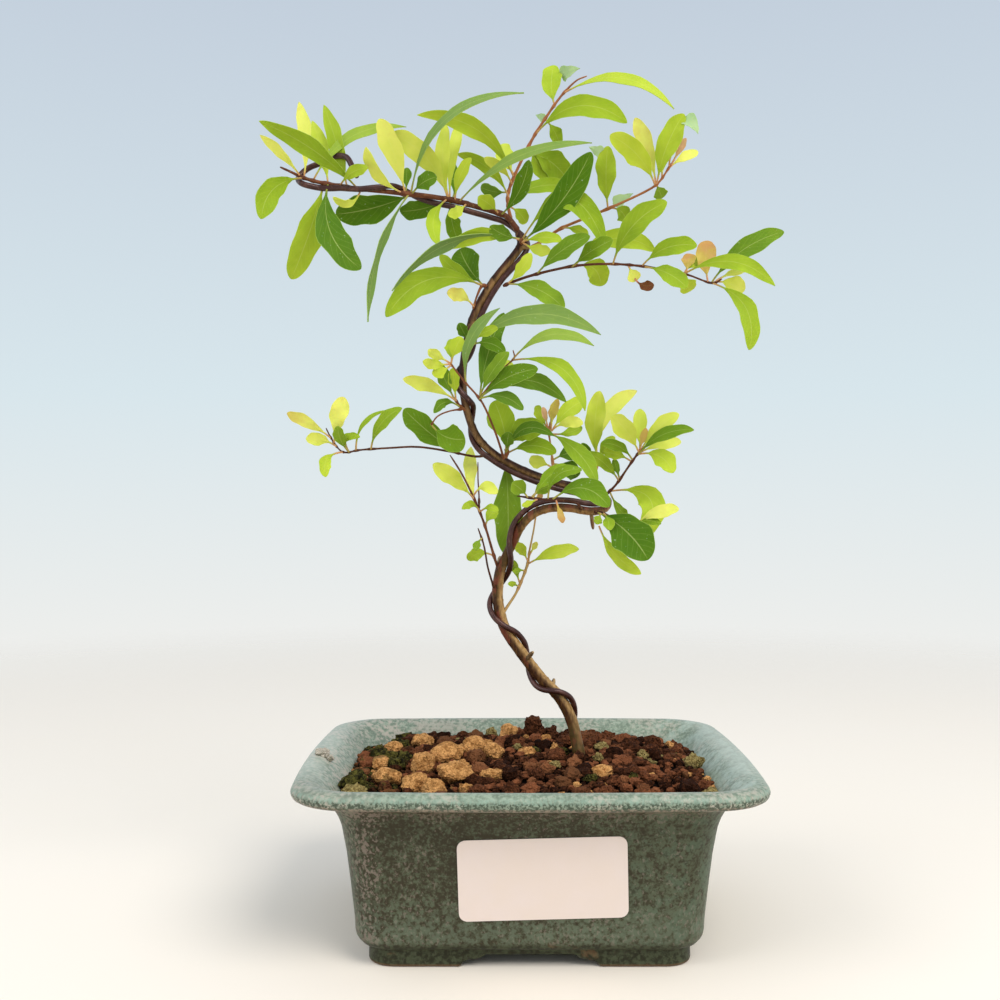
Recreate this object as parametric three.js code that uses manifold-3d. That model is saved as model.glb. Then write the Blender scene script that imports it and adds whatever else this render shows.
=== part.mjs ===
// Pomegranate bonsai: a wired young trunk with its leafy stems, in soil, in a glazed pot.
// Millimetres, +Z up. The origin is the middle of the pot on the surface that it stands on, and +X runs
// along the pot's long side, with the front at -Y.

import * as THREE from 'three';
import { mergeVertices } from 'three/addons/utils/BufferGeometryUtils.js';
import Module from 'manifold-3d';

const wasm = await Module();
wasm.setup();

// ---------------------------------------------------------------- driving dimensions

const CLEARANCE = 0.3;

// Pot: each station is half the width, half the depth, corner radius and height of one ring of the section.
const CORNER_STEPS = 3;
const FOOT_HEIGHT = 5.2;
const POT_FLOOR = 8.6;
const WALL_FOOT = { halfDepth: 47.4, height: 14 };
const WALL_TOP = { halfDepth: 50.2, height: 42 };
const DRAIN_RADIUS = 6;
const POT_OUTSIDE = [
  [50.2, 44.0, 8.5, 0],
  [50.2, 44.0, 8.5, FOOT_HEIGHT],
  [52.2, 45.8, 9.5, 6.0],
  [54.0, 47.0, 10.5, 8.3],
  [54.6, WALL_FOOT.halfDepth, 11.0, WALL_FOOT.height],
  [58.4, WALL_TOP.halfDepth, 12.5, WALL_TOP.height],
  [60.4, 51.8, 13.2, 46.6],
  [63.0, 53.4, 14.0, 49.2],
  [67.0, 56.4, 15.0, 50.8],
  [71.8, 60.2, 15.6, 51.4],
  [74.3, 62.0, 16.0, 52.3],
  [75.0, 62.5, 16.2, 54.3],
  [73.9, 61.6, 15.8, 56.1],
  [71.4, 59.4, 15.2, 56.8],
];
const POT_INSIDE = [
  [69.0, 57.2, 14.6, 56.4],
  [65.2, 53.8, 13.6, 54.4],
  [62.0, 50.8, 12.6, 51.3],
  [58.6, 48.0, 11.4, 47.6],
  [54.2, 45.2, 10.0, 34.0],
  [50.6, 42.5, 8.0, 12.0],
  [47.4, 39.0, 7.0, POT_FLOOR],
];
const SOIL_RING = POT_INSIDE[2];
const POT_UNDERSIDE = [
  [DRAIN_RADIUS, DRAIN_RADIUS, DRAIN_RADIUS, POT_FLOOR],
  [DRAIN_RADIUS, DRAIN_RADIUS, DRAIN_RADIUS, FOOT_HEIGHT - 0.2],
  [45.0, 38.0, 7.0, FOOT_HEIGHT - 0.2],
  [45.4, 38.4, 7.0, 0],
];
// The lip's bowed sides: where the bow starts and is full, by half width, and its share of x and of y.
const BOW = { start: 59, full: 71, x: 0.042, y: 0.036 };
// The foot ring's bracket-shaped cut: half widths at the ground and at the top of its slope, and its height.
const FOOT_CUT = { ground: 21.4, top: 13.6, height: 3.6 };

// Drainage screen on the pot's floor.
const SCREEN = { side: 22, thickness: 0.9, holes: 4, pitch: 4.6, hole: 2.8 };

// Soil and its granules.
const SOIL_EDGE = 50.2;
const MOUND = { x: 6, y: 10, height: 4.4 };
const SOIL_SEED = 20;
const GRANULES = { columns: 11, rows: 8, crown: 2.7, hollow: 0.2, shift: 2.6 };
// Larger lumps among them: place and radius.
const LUMPS = [
  [-46, -21, 3.9],
  [-35, -9, 4.6],
  [-27, 0, 5.0],
  [-18.5, 8, 4.6],
  [-11.5, 0, 4.2],
  [-36, -30, 4.0],
  [-24, -22, 4.9],
  [-30, -37, 4.1],
  [-50, -1, 3.6],
  [-48, 19, 3.8],
  [-38, 29, 3.9],
  [-6, 37, 3.6],
  [5, 36, 4.8],
];

// Blank sticker on the front wall.
const LABEL = { width: 51.4, height: 25.4, corner: 2.6, thickness: 0.45, x: 3.7, z: 28.4, roll: 1.6 };

// The crown is drawn as an elevation on squared paper, as an eye in front of the pot's middle sees it. Column
// and row 500 of the paper lie at the eye's own X and height, and a point's depth, in units of its own,
// slides it along its sight line.
const EYE = { x: -9.25, distance: 402, height: 142.8 };
const SQUARE = 0.3436;
const DEPTH_UNIT = 1.45;
const PAPER_MIDDLE = 500;

// Leader: column, row, depth, radius and, where the wire runs, its clock angle round the stem in degrees
// (0 at the right hand of the way up, 90 in front, 180 at the left, 270 behind).
const LEADER = [
  [581, 790, -1.0, 2.0, 250],
  [579, 756, -0.5, 2.05, 252],
  [576, 739, 0.2, 2.0, 258],
  [572, 722, 0.8, 2.0, 285],
  [565, 706, 1.2, 1.95, 352],
  [556, 693, 1.6, 1.95, 432],
  [543, 680, 2.0, 1.95, 530],
  [530, 664, 2.4, 1.95, 616],
  [518, 648, 2.8, 1.95, 700],
  [510, 637, 3.0, 1.9, 745],
  [503, 624, 3.2, 1.9, 815],
  [498.5, 606, 3.4, 1.9, 900],
  [497.5, 590, 3.4, 1.9, 985],
  [500.5, 570, 3.0, 1.8, 1070],
  [507, 555, 2.2, 1.6, 1130],
  [514, 540, 0.8, 1.55, 1200],
  [522, 525, -0.8, 1.5, 1255],
  [534, 513.5, -2.4, 1.5, 1260],
  [550, 508, -3.6, 1.45, 1260],
  [570, 508, -4.2, 1.4, 1260],
  [588, 511, -3.6, 1.4, 1258],
  [602, 510, -1.0, 1.35, 1255],
  [608, 503, 2.4, 1.35, 1250],
  [602, 494, 6.0, 1.35, 1245],
  [588, 489, 8.0, 1.3, 1240],
  [568, 485, 8.6, 1.3, 1235],
  [546, 479, 8.0, 1.3, 1232],
  [518, 468, 6.4, 1.3, 1230],
  [493, 453, 4.6, 1.3, 1232],
  [477, 436, 2.8, 1.3, 1300],
  [468, 414, 1.0, 1.3, 1400],
  [463.5, 392, 0, 1.3, 1550],
  [463, 370, 0.4, 1.3, 1670],
  [466, 346, 1.2, 1.3, 1795],
  [472, 320, 2.0, 1.3, 1810],
  [483, 297, 2.2, 1.35, 1825],
  [497, 276, 2.2, 1.35, 1830],
  [513, 257, 2.4, 1.4, 1815],
  [521, 244, 3.0, 1.4, 1780],
  [518, 231, 3.6, 1.3, 1710],
];
const TOP_LEFT = [
  [507, 217, 3.4, 1.15, 1650],
  [492, 211, 2.8, 1.1, 1622],
  [474, 206, 2.0, 1.05, 1618],
  [456, 201, 1.0, 1.0, 1620],
  [437, 197.5, 0, 1.0, 1640],
  [418, 195, -1.2, 1.0, 1690],
  [400, 193, -2.4, 0.95, 1760],
  [380, 191, -3.4, 0.9, 1850],
  [360, 189, -4.4, 0.85, 1890],
  [340, 186, -5.4, 0.8, 1910],
  [320, 182.5, -6.4, 0.75, 1960],
  [304, 178, -7.2, 0.65, null],
  [291, 172, -7.8, 0.5, null],
  [280, 167, -8.2, 0.4, null],
];
const WIRE = { radius: 1.0, sides: 6, lift: 0.34, steps: 80 };
// The wire's free end leaves the top left stem, goes up behind it and ends in a small hook.
const WIRE_HOOK = [
  [303, 184, -7.5],
  [299, 177, -3.2],
  [308, 168.5, -2.2],
  [321, 163, -2.6],
  [335, 156.5, -4.0],
  [346, 157, -6.0],
  [352, 166, -7.6],
  [357, 177, -8.8],
];

// Short pruned stubs on the trunk: column, row, depth at each end, then radius.
const STUBS = [
  [500, 574, 3.2, 501.5, 556, 3.4, 1.5],
  [526, 660, 2.4, 533, 652, -1.4, 0.8],
  [552, 690, 1.8, 554, 679, 5.4, 0.8],
  [519, 532, -0.2, 512, 525, 0.6, 0.7],
  [591, 511, -3.2, 593, 529, -0.6, 0.7],
  [520, 246, 2.6, 530, 247.5, 3.4, 1.3],
];

// Blades: the fold of their two halves, the bulge towards the front, their thickness and their stalk.
const BLADE = { fold: 0.2, bulge: 0.05, thickness: 0.95, stalk: 0.5, stalkLength: 2.6, tip: 0.3 };

// ---------------------------------------------------------------- the leafy stems

// A stem row is column, row, depth and radius. A leaf row is its base and its tip (column, row and depth of
// each), its bow to the left of its way out as a share of its length in hundredths, its width in squares,
// its turn about its midrib in degrees, and its age. The ages are 0 for an old dark leaf, 1 for a young yellow
// one, 1.1 for a bronze one, 1.2 for a pink bud, 1.4 for a dry leaf, and under 0 for a tip that is folded back.

const STEMS = {
  stem_top_left: {
    stems: [[LEADER[LEADER.length - 1], ...TOP_LEFT]],
    leaves: [
      [358, 189, -4.4, 259, 121, -17, -6, 20, 22, 0.5],
      [328, 184, -6.2, 361, 269, -15, -14, 28, 8, 0.1],
      [324, 183, -6.2, 291, 279, -3, 2, 27, 12, 0.62],
      [303, 178, -7.2, 261, 219, -16, -17, 23, 20, 0.5],
      [301, 177, -7.2, 260, 135, -15, -4, 10, 20, 0.95],
      [304, 178, -7.2, 299, 102, -6, -5, 14, 15, 0.95],
      [347, 187, -5.2, 324, 105, 0, -2, 17, 20, 0.58],
      [313, 181, -6.6, 406, 127, 7, 14, 13, 30, 0.55],
      [328, 184, -6.0, 312, 121, 4, -3, 16, 20, 0.75],
      [340, 186, -5.4, 368, 168, -12, 10, 12, 10, 0.6],
      [412, 194, -1.8, 336, 214, 4, 4, 30, 10, 0.08],
      [361, 189, -4.4, 333, 197, -11, 25, 9, 30, 0.85],
      [405, 193, -2.2, 379, 119, -9, -4, 21, 15, 0.95],
      [403, 193, -2.2, 366, 147, -13, 12, 13, 30, 0.9],
      [409, 194, -2.0, 368, 322, -10, -8, 15, 60, 0.3],
      [411, 194, -1.8, 524, 93, -14, 20, 17, 60, 0.35],
      [412, 194, -1.8, 437, 177, -7, 8, 17, 15, 0.15],
      [406, 193, -2.0, 407, 168, 1, 0, 10, 10, 0.2],
      [447, 199, 0.5, 400, 211, 5, 6, 20, 15, 0.12],
      [448, 199, 0.5, 392, 133, -7, -12, 22, 15, 0.88],
      [449, 199, 0.5, 446, 124, -2, 6, 15, 15, 0.85],
      [450, 199, 0.6, 463, 117, 3, 5, 13, 15, 0.85],
      [452, 200, 0.6, 449, 163, 7, -10, 14, 20, 0.25],
      [455, 201, 0.8, 471, 158, -5, 8, 12, 20, 0.7],
      [459, 202, 1.0, 592, 143, -11, 11, 13, 42, 0.4],
      [466, 204, 1.4, 448, 214, -7, 5, 12, 15, 0.8],
      [447, 199, 0.4, 439, 245, -10, -14, 15, 20, 0.6],
      [450, 199, 0.6, 458, 241, 6, -6, 17, 20, 0.3],
      [499, 214, 3.0, 478, 197, -3, -5, 16, 15, 0.65],
      [501, 215, 3.0, 529, 160, -9, -8, 17, 15, 0.1],
    ],
  },
  stem_apex: {
    stems: [[
      [511, 219, 3.6, 0.9],
      [508, 205, 4.0, 0.85],
      [509, 190, 4.2, 0.8],
      [518, 168, 4.4, 0.75],
      [533, 138, 4.6, 0.7],
      [549, 113, 4.8, 0.65],
      [562, 95, 5.0, 0.6],
      [576, 81, 5.0, 0.45],
      [587, 76, 5.0, 0.35],
    ]],
    leaves: [
      [564, 93, 5.0, 674, 109, -4, 18, 15, 45, 0.7],
      [555, 107, 4.8, 554, 65.5, 9, 6, 21, 10, 0.6],
      [561, 76, 8.0, 580, 68.5, 4, 6, 16, 15, -0.3],
      [536, 134, 4.6, 627, 123, -5, 22, 22, 15, 0.55],
      [546, 119, 5.0, 536, 115, 8, 0, 10, 10, -0.3],
      [545, 119, 4.8, 559, 143, 9, 6, 14, 10, 0.5],
      [526, 152, 4.6, 568, 181, 12, 10, 27, 5, 0.5],
      [529, 146, 4.6, 549, 177, 9, -5, 20, 10, 0.55],
      [509, 200, 4.0, 568, 187, 9, 10, 16, 20, 0.5],
      [514, 178, 4.4, 417, 115, -6.5, -17, 19, 15, 0.65],
      [509, 198, 4.0, 457, 154, 4.5, -14, 14, 25, 0.6],
      [512, 184, 4.2, 484, 158, -3, -10, 12, 30, 0.85],
      [515, 176, 4.4, 503, 144, 9, 5, 18, 10, 0.8],
      [509, 192, 4.2, 481, 187, 10, 5, 14, 20, 0.3],
      [508, 206, 4.0, 526, 223, 9, 8, 14, 15, 0.6],
    ],
  },
  stem_upper_right: {
    stems: [[
      [531, 247.5, 3.6, 0.95],
      [544, 240, 4.2, 0.85],
      [560, 229, 3.0, 0.8],
      [583, 219, 1.0, 0.7],
      [605, 210, -1.6, 0.7],
      [630, 199, -3.6, 0.6],
      [650, 189, -5.0, 0.6],
      [660, 181, -6.0, 0.5],
      [670, 166, -6.6, 0.4],
      [675, 159, -7.0, 0.35],
    ]],
    leaves: [
      [608, 209, -1.8, 608, 146, -9, 3, 20, 10, 0.6],
      [603, 153, -8.0, 589, 147, -8, 0, 13, 10, -0.3],
      [657, 184, -5.8, 684, 114, -12, 6, 22, 12, 0.62],
      [685, 117, -11.4, 698, 134, -14, 8, 15, 12, -0.3],
      [655, 185, -5.6, 610, 135, -12, -10, 22, 15, 0.75],
      [656, 184, -5.8, 635, 118, -5, -4, 16, 15, 1.0],
      [669, 168, -6.4, 671, 145, -8, 0, 5, 0, 1.2],
      [671, 165, -6.6, 686, 138, -9, 0, 7, 0, 1.2],
      [668, 169, -6.4, 698, 152, -4, 6, 10, 15, 0.95],
      [656, 183, -5.6, 662, 198, -2, 0, 14, 10, 0.4],
      [662, 178, -6.0, 662, 158, -4, 0, 7, 0, 0.95],
      [610, 208, -2.0, 626, 221, 1, 18, 16, 10, 0.5],
      [613, 204, -0.4, 633, 193.5, 1, 0, 14, 10, -0.3],
      [562, 228, 2.8, 588, 236, -2, 8, 10, 20, 0.6],
    ],
  },
  stem_right: {
    stems: [[
      [503, 286, 1.4, 0.8],
      [515, 281, 0.8, 0.75],
      [537, 274, 0, 0.7],
      [574, 266, -1.0, 0.65],
      [611, 264, -2.0, 0.6],
      [648, 267, -3.0, 0.55],
      [685, 274, -4.0, 0.5],
      [711, 283, -4.8, 0.45],
      [722, 279, -5.2, 0.4],
    ]],
    leaves: [
      [537, 274, 0, 590, 236, -9, 6, 18, 20, 0.3],
      [572, 267, -1.0, 613, 240, -10, 4, 18, 20, 0.35],
      [575, 266, -1.0, 655, 251, 5, 22, 20, 10, 0.62],
      [613, 264, -2.2, 667, 202, -11, 12, 23, 12, 0.5],
      [573, 267, -0.8, 601, 286, 5, 25, 24, 5, 0.6],
      [642, 266, -2.8, 697, 246, -9, 14, 18, 15, 0.5],
      [645, 267, -3, 687, 288, -9, 8, 18, 15, 0.5],
      [682, 274, -4.0, 690, 291, 1, 0, 18, 5, 0.7],
      [684, 274, -4.0, 703, 261, 2, 10, 12, 10, 0.7],
      [628, 265, -2.4, 636, 281, -1, 0, 14, 15, 0.9],
      [635, 279, -1.4, 654, 285, -5, -15, 11, 20, 1.4],
      [708, 282, -4.8, 708, 241, 1, 4, 20, 10, 1.1],
      [686, 274, -4.0, 690, 254, -1, 0, 14, 10, 1.1],
      [712, 282, -4.8, 784, 232, -9, 10, 20, 15, 0.3],
      [684, 274, -4.2, 775, 286, -13, 19, 16, 15, 0.55],
      [712, 283, -4.8, 749, 350, -9, 21, 19, 20, 0.55],
      [714, 282, -4.8, 742, 293, -2, 12, 20, 5, 0.9],
      [716, 281, -5.0, 746, 270, -4, 6, 8, 20, 0.95],
      [508, 284, 1.2, 564, 309, -6, 10, 19, 12, 0.4],
      [506, 285, 1.4, 531, 253, -3, -6, 13, 15, 0.8],
    ],
  },
  tuft_bend: {
    stems: [[
      [522, 243, 2.0, 1.0],
      [521, 239, -0.2, 0.9],
    ]],
    leaves: [
      [523, 241, 0.4, 591, 152, -9, -6, 27, 8, 0.06],
      [520, 239, 0.6, 392, 291, -12, -15, 15, 50, 0.15],
      [520, 240, 0.6, 447, 249, -7, -12, 16, 20, 0.6],
      [520, 239, 0.8, 490, 226, -5, 6, 16, 8, 0.22],
      [522, 242, 0.4, 562, 241, -6, 8, 12, 20, 0.6],
      [522, 242, 0.8, 551, 251, -2, -8, 12, 10, 0.8],
      [522, 240, 1.2, 605, 247, -5.4, 50, 22, 10, 0.45],
    ],
  },
  tuft_left_upper: {
    stems: [[
      [488, 287, 2.0, 0.9],
      [482, 286, 1.2, 0.8],
      [477, 296, 0.8, 0.55],
      [473, 309, 0.8, 0.45],
    ]],
    leaves: [
      [484, 286, 1.4, 386, 317, -9, -20, 26, 12, 0.5],
      [474, 307, 0.8, 447, 293, -4, -12, 14, 10, 1.0],
      [484, 286, 1.8, 460, 249, 7, 5, 30, 10, 0.1],
      [483, 286, 1.4, 440, 255, 2, 6, 14, 15, 0.55],
    ],
  },
  tuft_middle: {
    stems: [[
      [468, 345, 0.8, 0.9],
      [471, 343, -1.6, 0.7],
    ]],
    leaves: [
      [471, 343, -1.2, 601, 335, -11, 18, 20, 15, 0.35],
      [471, 345, -1.2, 505, 353, -6, 14, 13, 10, 0.15],
      [471, 342, -1.0, 498, 328, -5, 6, 10, 15, 0.6],
      [469, 343, -1.0, 459, 323, -5, 0, 11, 0, 0.1],
    ],
  },
  stem_middle: {
    stems: [
      [
        [504, 459, 3.6, 0.65],
        [497, 437, -1.0, 0.55],
        [487, 412, -4.0, 0.55],
        [479, 398, -5.0, 0.5],
        [465, 382, -6.0, 0.5],
        [450, 363, -6.0, 0.42],
      ],
      [
        [481, 397, -5.0, 0.48],
        [492, 382, -5.2, 0.46],
        [505, 367, -6.2, 0.42],
        [514, 358, -7.0, 0.38],
        [513, 350, -7.2, 0.32],
      ],
    ],
    leaves: [
      [480, 396, -5.0, 509, 352, -12, 5, 14, 20, 0.35],
      [481, 397, -5.0, 538, 369, -13, 8, 19, 12, 0.2],
      [482, 396, -4.8, 566, 402, -8, 22, 17, 15, 0.25],
      [480, 395, -4.6, 504, 313, 3, 4, 20, 12, 0.15],
      [513, 359, -7.0, 594, 346, -15, 20, 13, 30, 0.5],
      [514, 360, -7.0, 585, 411, -14, 22, 16, 25, 0.55],
      [500, 373, -5.8, 512, 363, -2, 0, 14, 0, 0.8],
      [450, 363, -6.0, 428, 350, -9, 0, 10, 10, 0.9],
      [450, 364, -6.0, 423, 361, -12, 5, 11, 10, 0.8],
      [451, 365, -6.0, 432, 373, -9, 8, 12, 10, 0.75],
      [451, 364, -6.0, 462, 337, -8, 5, 14, 15, 0.7],
      [451, 365, -6.0, 449, 340, -3, -6, 12, 20, 0.6],
      [466, 382, -6.0, 500, 308, -12, 16, 12, 20, 0.3],
      [479, 399, -5.0, 523, 410, -9, 16, 13, 15, 0.2],
    ],
  },
  tuft_left_middle: {
    stems: [
      [
        [466, 410, 0.4, 0.8],
        [460, 406, -0.8, 0.6],
        [455, 399, -1.6, 0.5],
      ],
      [
        [463, 409, -0.2, 0.5],
        [450, 411, -2.5, 0.42],
        [438, 416, -4.0, 0.4],
        [431, 425, -4.0, 0.4],
      ],
    ],
    leaves: [
      [455, 400, -1.6, 439, 364, -3, 2, 14, 10, 0.3],
      [456, 401, -1.6, 453, 368, -3.5, 0, 12, 15, 0.65],
      [455, 400, -1.6, 403, 379, -8, -6, 14, 12, 0.9],
      [460, 407, -0.8, 434, 413, -7, -22, 10, 20, 0.2],
      [431, 424, -4.0, 465, 439, 1, -14, 28, 5, 0.3],
    ],
  },
  stem_left: {
    stems: [[
      [491, 454.5, 5.2, 0.75],
      [478, 456.5, 6.5, 0.65],
      [466, 455, 5.5, 0.6],
      [452, 452, 3.5, 0.55],
      [419, 447, 0, 0.55],
      [389, 448, -2.5, 0.5],
      [360, 450, -4.5, 0.45],
      [345, 452.5, -5.5, 0.4],
      [337, 447, -6.0, 0.38],
      [330, 436, -6.5, 0.35],
      [326, 428, -7.0, 0.33],
    ]],
    leaves: [
      [458, 453, 4.4, 404, 409, 3, 3, 24, 10, 0.25],
      [371, 449, -4.0, 402, 408, -10, 12, 13, 20, 0.45],
      [356, 450, -4.8, 388, 410, -5, 20, 5, 20, 0.5],
      [349, 452, -5.4, 338, 426, -10, 8, 12, 15, 0.4],
      [349, 452, -5.2, 360, 437, -8, 45, 8, 15, 0.5],
      [334, 443, -6.2, 344, 397, -9, 3, 18, 10, 0.95],
      [331, 438, -6.4, 287, 413, -10, -4, 12, 15, 1.0],
      [336, 446, -6.2, 306, 439, -12, -8, 13, 12, 0.9],
      [343, 452, -5.6, 326, 477, -9, -28, 12, 12, 0.7],
    ],
  },
  tuft_centre: {
    stems: [
      [
        [504, 462, 5.6, 1.0],
        [507, 453, 5.0, 0.9],
        [507, 447, 4.6, 0.6],
      ],
      [
        [506, 450, 5.0, 0.7],
        [506, 450, 7.6, 0.65],
        [505, 457, 9.4, 0.55],
      ],
    ],
    leaves: [
      [507, 451, 4.6, 554, 436, -8, 22, 13, 15, 0.12],
      [506, 452, 4.4, 509, 432, 1, 0, 14, 10, 0.2],
      [506, 451, 4.8, 494, 401, 6, -6, 28, 5, 0.55],
      [507, 451, 4.8, 545, 430, 0, 22, 24, 8, 0.5],
      [508, 453, 5.0, 556, 453, 0, 14, 17, 10, 0.45],
      [505, 456, 9.2, 507, 555, 8.5, 2, 30, 6, 0.35],
    ],
  },
  stem_centre: {
    stems: [[
      [552, 482, 8.0, 0.7],
      [553, 468, 6.4, 0.6],
      [551, 448, 4.6, 0.5],
      [549, 432, 3.4, 0.45],
      [551, 420, 3.0, 0.38],
    ]],
    leaves: [
      [549, 433, 3.4, 597, 483, -10, 8, 18, 12, 0.45],
      [548, 428, 3.2, 543, 407, 2, 0, 6, 0, 1.2],
      [551, 424, 3.0, 551, 408, 2, 0, 6, 0, 1.2],
      [551, 430, 3.2, 558, 399, -1, 4, 9, 10, 1.05],
      [548, 430, 3.4, 536, 406, 7, 0, 11, 10, 0.65],
      [552, 431, 3.4, 585, 400, 8, 8, 17, 10, 0.7],
      [551, 431, 3.2, 583, 424, 0, 14, 12, 12, 0.9],
      [552, 434, 3.6, 582, 427, 6, -8, 10, 15, 0.55],
      [553, 464, 6.0, 577, 477, 11, 10, 18, 10, 0.1],
      [553, 460, 5.8, 578, 452, 9, 6, 17, 10, 0.12],
      [553, 468, 6.4, 529, 461, 6, -8, 14, 10, 0.85],
    ],
  },
  stem_uprights: {
    stems: [[
      [592, 490, 7.8, 0.6],
      [595, 478, 7.6, 0.55],
      [597, 465, 7.2, 0.5],
      [597, 454, 6.8, 0.42],
    ]],
    leaves: [
      [597, 460, 7.0, 600, 391, 3, 5, 20, 10, 0.8],
      [597, 456, 7.0, 637, 391, 9, 18, 17, 12, 0.95],
      [596, 467, 7.2, 582, 443, 4, 0, 10, 10, 0.15],
      [598, 464, 7.2, 615, 437, 4, 8, 12, 15, 0.6],
    ],
  },
  twig_horizontal: {
    stems: [[
      [582, 509, -4.8, 0.65],
      [576, 503, -7.4, 0.6],
      [560, 500, -8.2, 0.55],
      [540, 499, -8.6, 0.5],
      [517, 496, -9.0, 0.45],
    ]],
    leaves: [
      [552, 500, -8.4, 609, 507, -13, 26, 22, 10, 0.3],
      [548, 500, -8.4, 582, 470, -13, 25, 12, 10, 0.35],
      [528, 498, -8.8, 512, 483, -12, -6, 16, 10, 0.4],
      [531, 498, -8.8, 549, 487, -6, 8, 12, 10, 0.45],
      [533, 498, -8.8, 566, 465, -9, 8, 13, 15, 0.4],
      [556, 500, -8.4, 563, 523, -9, 0, 7, 10, 1.1],
      [538, 499, -8.6, 522, 506, -10, 0, 6, 10, 0.7],
    ],
  },
  stem_right_cluster: {
    stems: [[
      [603, 497, 5.6, 0.75],
      [610, 491, 4.6, 0.65],
      [618, 482, 3.4, 0.6],
      [631, 463, 1.6, 0.55],
      [639, 452, 0.6, 0.5],
    ]],
    leaves: [
      [639, 453, 0.6, 612, 416, -5, -6, 20, 10, 0.85],
      [640, 452, 0.6, 640, 409, 3, 0, 15, 10, 0.8],
      [640, 452, 0.6, 679, 414, -4, 8, 15, 12, 0.85],
      [638, 455, 0.8, 694, 430, -8, 12, 14, 25, 0.3],
      [639, 454, 0.8, 673, 473, -5, 18, 19, 10, 0.7],
      [639, 453, 0.8, 681, 442, 4, 6, 12, 10, 0.9],
      [639, 452, 0.6, 646, 428, -2, 0, 7, 0, 1.1],
      [633, 461, 1.6, 601, 443, -3, -14, 12, 20, 0.35],
      [632, 462, 1.6, 603, 452, 1, -8, 12, 12, 0.6],
      [619, 481, 3.4, 588, 452, -3, -6, 13, 12, 0.5],
      [620, 480, 3.2, 614, 459, 2, 0, 8, 15, 0.35],
      [611, 491, 4.6, 645, 537, -4, 40, 26, 8, 0.65],
      [610, 492, 4.6, 629, 520, 6, -6, 10, 15, 0.4],
    ],
  },
  stem_right_low: {
    stems: [[
      [594, 512, -4.4, 0.65],
      [602, 513, -5.2, 0.6],
      [612, 517, -5.6, 0.55],
      [624, 521, -6.0, 0.5],
      [634, 526, -6.2, 0.42],
    ]],
    leaves: [
      [634, 525, -6.2, 679, 509, -10, 8, 13, 10, 0.95],
      [633, 526, -6.2, 661, 524, -9, 14, 8, 15, 0.4],
      [603, 513, -5.2, 608, 530, -10, 10, 12, 10, 0.5],
      [601, 513, -5.2, 596, 524, -8, 0, 9, 10, 0.55],
      [597, 512, -4.8, 648, 560, -12, 8, 38, 5, 0.08],
      [599, 526, -6.2, 641, 574, -8, -10, 14, 10, 0.75],
    ],
  },
  stem_left_low: {
    stems: [
      [
        [498, 568, 3.0, 0.8],
        [494, 556, 1.6, 0.7],
        [485, 526, 0.2, 0.6],
        [476, 503, 0, 0.55],
        [463, 476, 0.2, 0.5],
        [450, 455, 0.4, 0.42],
      ],
      [
        [479, 508, 0.2, 0.45],
        [479, 496, 1.4, 0.4],
        [478, 478, 3.0, 0.35],
        [478, 462, 4.4, 0.32],
      ],
    ],
    leaves: [
      [474, 499, 0, 433, 464, -7, -4, 17, 10, 0.85],
      [473, 497, 0, 497, 494, -4, 30, 12, 10, 0.9],
      [480, 512, 0, 462, 509, -6, -20, 8, 15, 0.6],
      [480, 512, 0, 498, 512, -3, 20, 8, 15, 0.6],
      [485, 527, 0.2, 497, 509, 3, 8, 12, 10, 0.6],
      [494, 556, 1.6, 468, 560, 4, -18, 13, 10, 0.6],
      [475, 501, 0, 471, 447, 13, 3, 14, 10, 0.95],
    ],
  },
  stem_left_thin: {
    stems: [[
      [494, 588, 2.0, 0.6],
      [488, 568, -0.8, 0.5],
      [484, 546, -2.4, 0.45],
      [478, 528, -2.8, 0.4],
    ]],
    leaves: [
      [482, 538, -2.6, 475, 550, -5, -6, 8, 10, 0.4],
    ],
  },
  shoot_low: {
    stems: [[
      [503, 613, 3.4, 0.9],
      [509, 604, 4.0, 0.75],
      [517, 591, 4.6, 0.65],
      [527, 566, 5.0, 0.6],
      [530, 548, 5.4, 0.5],
      [534, 528, 5.8, 0.45],
      [538, 500, 5.6, 0.4],
    ]],
    leaves: [
      [528, 564, 5.0, 579, 549, -2, 6, 14, 10, 0.75],
      [528, 562, 5.0, 516, 543, 4.4, -6, 11, 12, 0.75],
      [520, 584, 4.8, 513, 560, 4.8, 0, 8, 15, 0.6],
      [519, 587, 4.6, 508, 584, 1, -8, 6, 15, 0.6],
      [525, 571, 5.0, 513, 572, 2, -8, 6, 15, 0.5],
      [530, 554, 5.2, 537, 542, 4, 0, 6, 0, 0.95],
      [537, 506, 5.6, 541, 492, 4, 0, 6, 0, 1.1],
    ],
  },
};

// ---------------------------------------------------------------- shared shapes

/** A closed geometry as a solid that can be joined and cut. */
function toSolid(geometry) {
  const bare = geometry.clone();
  bare.deleteAttribute('normal');
  bare.deleteAttribute('uv');
  const merged = mergeVertices(bare, 1e-4);
  return new wasm.Manifold(new wasm.Mesh({
    numProp: 3,
    vertProperties: Float32Array.from(merged.attributes.position.array),
    triVerts: Uint32Array.from(merged.index.array),
  }));
}

/** A solid as a geometry for a mesh. */
function toGeometry(solid) {
  const mesh = solid.getMesh();
  const geometry = new THREE.BufferGeometry();
  geometry.setAttribute('position', new THREE.BufferAttribute(Float32Array.from(mesh.vertProperties), 3));
  geometry.setIndex(new THREE.BufferAttribute(Uint32Array.from(mesh.triVerts), 1));
  geometry.computeVertexNormals();
  return geometry;
}

function join(solids) {
  return solids.reduce((whole, solid) => whole.add(solid));
}

/** The largest body of a solid: a scrap that a cut leaves loose is dropped. */
function largestBody(solid) {
  const bodies = solid.decompose();
  return bodies.reduce((best, body) => (body.volume() > best.volume() ? body : best));
}

function randomNumbers(seed) {
  let state = seed;
  return () => {
    state = (state * 1664525 + 1013904223) % 4294967296;
    return state / 4294967296;
  };
}

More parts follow.
